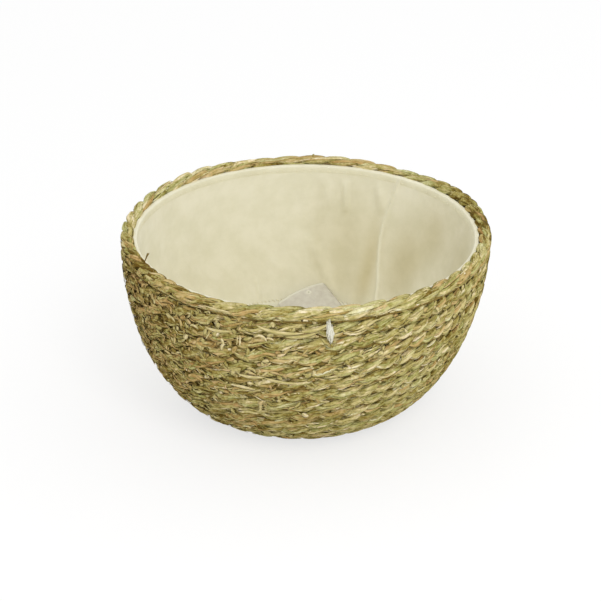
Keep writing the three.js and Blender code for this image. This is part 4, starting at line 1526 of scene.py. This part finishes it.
def add_tag():
    """The card as a grid with rounded corners and a punched hole, curled across, in the CAD tag's place.

    Round the hole, a square ring of cells is drawn in to a circle, less and less towards TAG_BLEND. In a
    corner, a square is drawn in to a quarter disc. The curl lifts the middle as curl * (1 - c ** 2), with c
    from -1 to 1 across the card.
    """
    x, y = np.meshgrid(
        np.linspace(0, TAG_WIDTH, TAG_COLUMNS), np.linspace(0, TAG_HEIGHT, TAG_ROWS), indexing="ij")
    r = TAG_CORNER_RADIUS
    cx, cy = np.clip(x, r, TAG_WIDTH - r), np.clip(y, r, TAG_HEIGHT - r)
    dx, dy = x - cx, y - cy
    square = np.maximum(np.abs(dx), np.abs(dy))
    round_corner = square / np.maximum(np.hypot(dx, dy), TINY)
    x, y = cx + dx * round_corner, cy + dy * round_corner
    hole_x, hole_y = TAG_HOLE_ACROSS, TAG_HEIGHT - TAG_HOLE_DROP
    dx, dy = x - hole_x, y - hole_y
    square = np.maximum(np.abs(dx), np.abs(dy))
    wide = np.maximum(np.hypot(dx, dy), TINY)
    blend = np.clip((square - TAG_BLOCK) / (TAG_BLEND - TAG_BLOCK), 0, 1)
    circle = TAG_HOLE_RADIUS + (square - TAG_BLOCK)
    radius = circle + (wide - circle) * blend
    inside = square < TAG_BLOCK - 1e-6
    near = ~inside & (square < TAG_BLEND)
    x = np.where(near, hole_x + dx / wide * radius, x)
    y = np.where(near, hole_y + dy / wide * radius, y)
    across = 2 * x / TAG_WIDTH - 1
    curl = TAG_CURL * (1 - across ** 2) * (TAG_CURL_LOW + (1 - TAG_CURL_LOW) * y / TAG_HEIGHT)
    flat = np.stack([x, y, curl + TAG_THICKNESS / 2], axis=-1)
    corners = np.array([
        (u * TAG_WIDTH, v * TAG_HEIGHT, w * TAG_THICKNESS) for u in (0, 1) for v in (0, 1) for w in (0, 1)])
    turn = tag_turn()
    low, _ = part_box("card_tag")
    place = np.array(low) / MM - (corners @ turn.T).min(axis=0)
    points = (flat @ turn.T + place).reshape(-1, 3)
    # Paler round the hole, and a painted highlight along the top edge
    worn_hole = np.clip(PALE_HOLE_REACH - np.hypot(x - hole_x, y - hole_y), 0, 1)
    worn_edge = np.clip((y - TAG_HEIGHT + EDGE_HIGHLIGHT_DROP) / EDGE_HIGHLIGHT_FADE, 0, 1)
    worn = np.maximum(worn_hole, EDGE_HIGHLIGHT_SHARE * worn_edge).ravel()
    index = np.arange(x.size).reshape(x.shape)
    quads = np.stack([index[:-1, :-1], index[1:, :-1], index[1:, 1:], index[:-1, 1:]], axis=-1).reshape(-1, 4)
    quads = quads[~inside.ravel()[quads].any(axis=1)]
    used, quads = np.unique(quads, return_inverse=True)
    mesh = make_mesh("card_tag_curled", points[used], [quads.reshape(-1, 4)], worn=worn[used])
    tag = add_piece(mesh, card_material, "card_tag")
    thickness = tag.modifiers.new("thickness", "SOLIDIFY")
    thickness.thickness = TAG_THICKNESS * MM
    thickness.offset = 0.0


add_tag()


# Floor and light

FLOOR_WHITE = "#f4f4f4"
FLOOR_SIZE = 6.0
FLOOR_GLOW = 0.7
KEY_PLACE = (0.5, -1.05, 1.2)
KEY_SIZE = 0.7
KEY_POWER = 9.0
KEY_COLOUR = (1.0, 0.985, 0.95)
BOWL_MIDDLE = (0.0, 0.0, 0.06)
SKY_STRENGTH = 1.0


def add_floor():
    """White table. For the camera, most of it is plain white light, so that only a faint shadow shows."""
    material, tree = new_material("white_table")
    path = add_node(tree, "ShaderNodeLightPath")
    seen = add_node(tree, "ShaderNodeMath", {
        0: path.outputs["Is Camera Ray"], 1: path.outputs["Is Glossy Ray"]}, operation="MAXIMUM").outputs[0]
    seen = add_node(tree, "ShaderNodeMath", {
        0: seen, 1: path.outputs["Is Transmission Ray"]}, operation="MAXIMUM").outputs[0]
    share = add_node(tree, "ShaderNodeMath", {0: seen, 1: FLOOR_GLOW}, operation="MULTIPLY").outputs[0]
    matt = add_node(tree, "ShaderNodeBsdfDiffuse", {"Color": linear(FLOOR_WHITE)}).outputs["BSDF"]
    glow = add_node(tree, "ShaderNodeEmission", {"Color": (1, 1, 1, 1), "Strength": 1.0}).outputs["Emission"]
    both = add_node(tree, "ShaderNodeMixShader", {"Fac": share, 1: matt, 2: glow}).outputs["Shader"]
    add_node(tree, "ShaderNodeOutputMaterial", {"Surface": both})
    half = FLOOR_SIZE / 2
    mesh = bpy.data.meshes.new("table")
    corners = [(-half, -half, 0), (half, -half, 0), (half, half, 0), (-half, half, 0)]
    mesh.from_pydata(corners, [], [(0, 1, 2, 3)])
    table = bpy.data.objects.new("table", mesh)
    bpy.context.scene.collection.objects.link(table)
    table.data.materials.append(material)


def add_lamp(name, place, size, power, colour):
    """Square lamp that looks at the middle of the bowl."""
    lamp = bpy.data.objects.new(name, bpy.data.lights.new(name, "AREA"))
    bpy.context.scene.collection.objects.link(lamp)
    lamp.data.size = size
    lamp.data.energy = power
    lamp.data.color = colour
    lamp.location = place
    aim = np.array(BOWL_MIDDLE) - np.array(place)
    yaw = math.atan2(aim[0], -aim[1])
    pitch = math.atan2(math.hypot(aim[0], aim[1]), -aim[2])
    lamp.rotation_euler = (pitch, 0.0, math.pi - yaw)


def add_world():
    """Even white sky, full white where the camera sees it."""
    world = bpy.data.worlds.new("studio")
    bpy.context.scene.world = world
    world.use_nodes = True
    tree = world.node_tree
    tree.nodes.clear()
    path = add_node(tree, "ShaderNodeLightPath")
    strength = add_node(tree, "ShaderNodeMapRange", {
        "Value": path.outputs["Is Camera Ray"], "To Min": SKY_STRENGTH, "To Max": 1.0}).outputs["Result"]
    sky = add_node(tree, "ShaderNodeBackground", {"Color": (1, 1, 1, 1), "Strength": strength})
    add_node(tree, "ShaderNodeOutputWorld", {"Surface": sky.outputs["Background"]})


add_floor()
add_lamp("key", KEY_PLACE, KEY_SIZE, KEY_POWER, KEY_COLOUR)
add_world()
bpy.context.scene.view_settings.view_transform = "Standard"
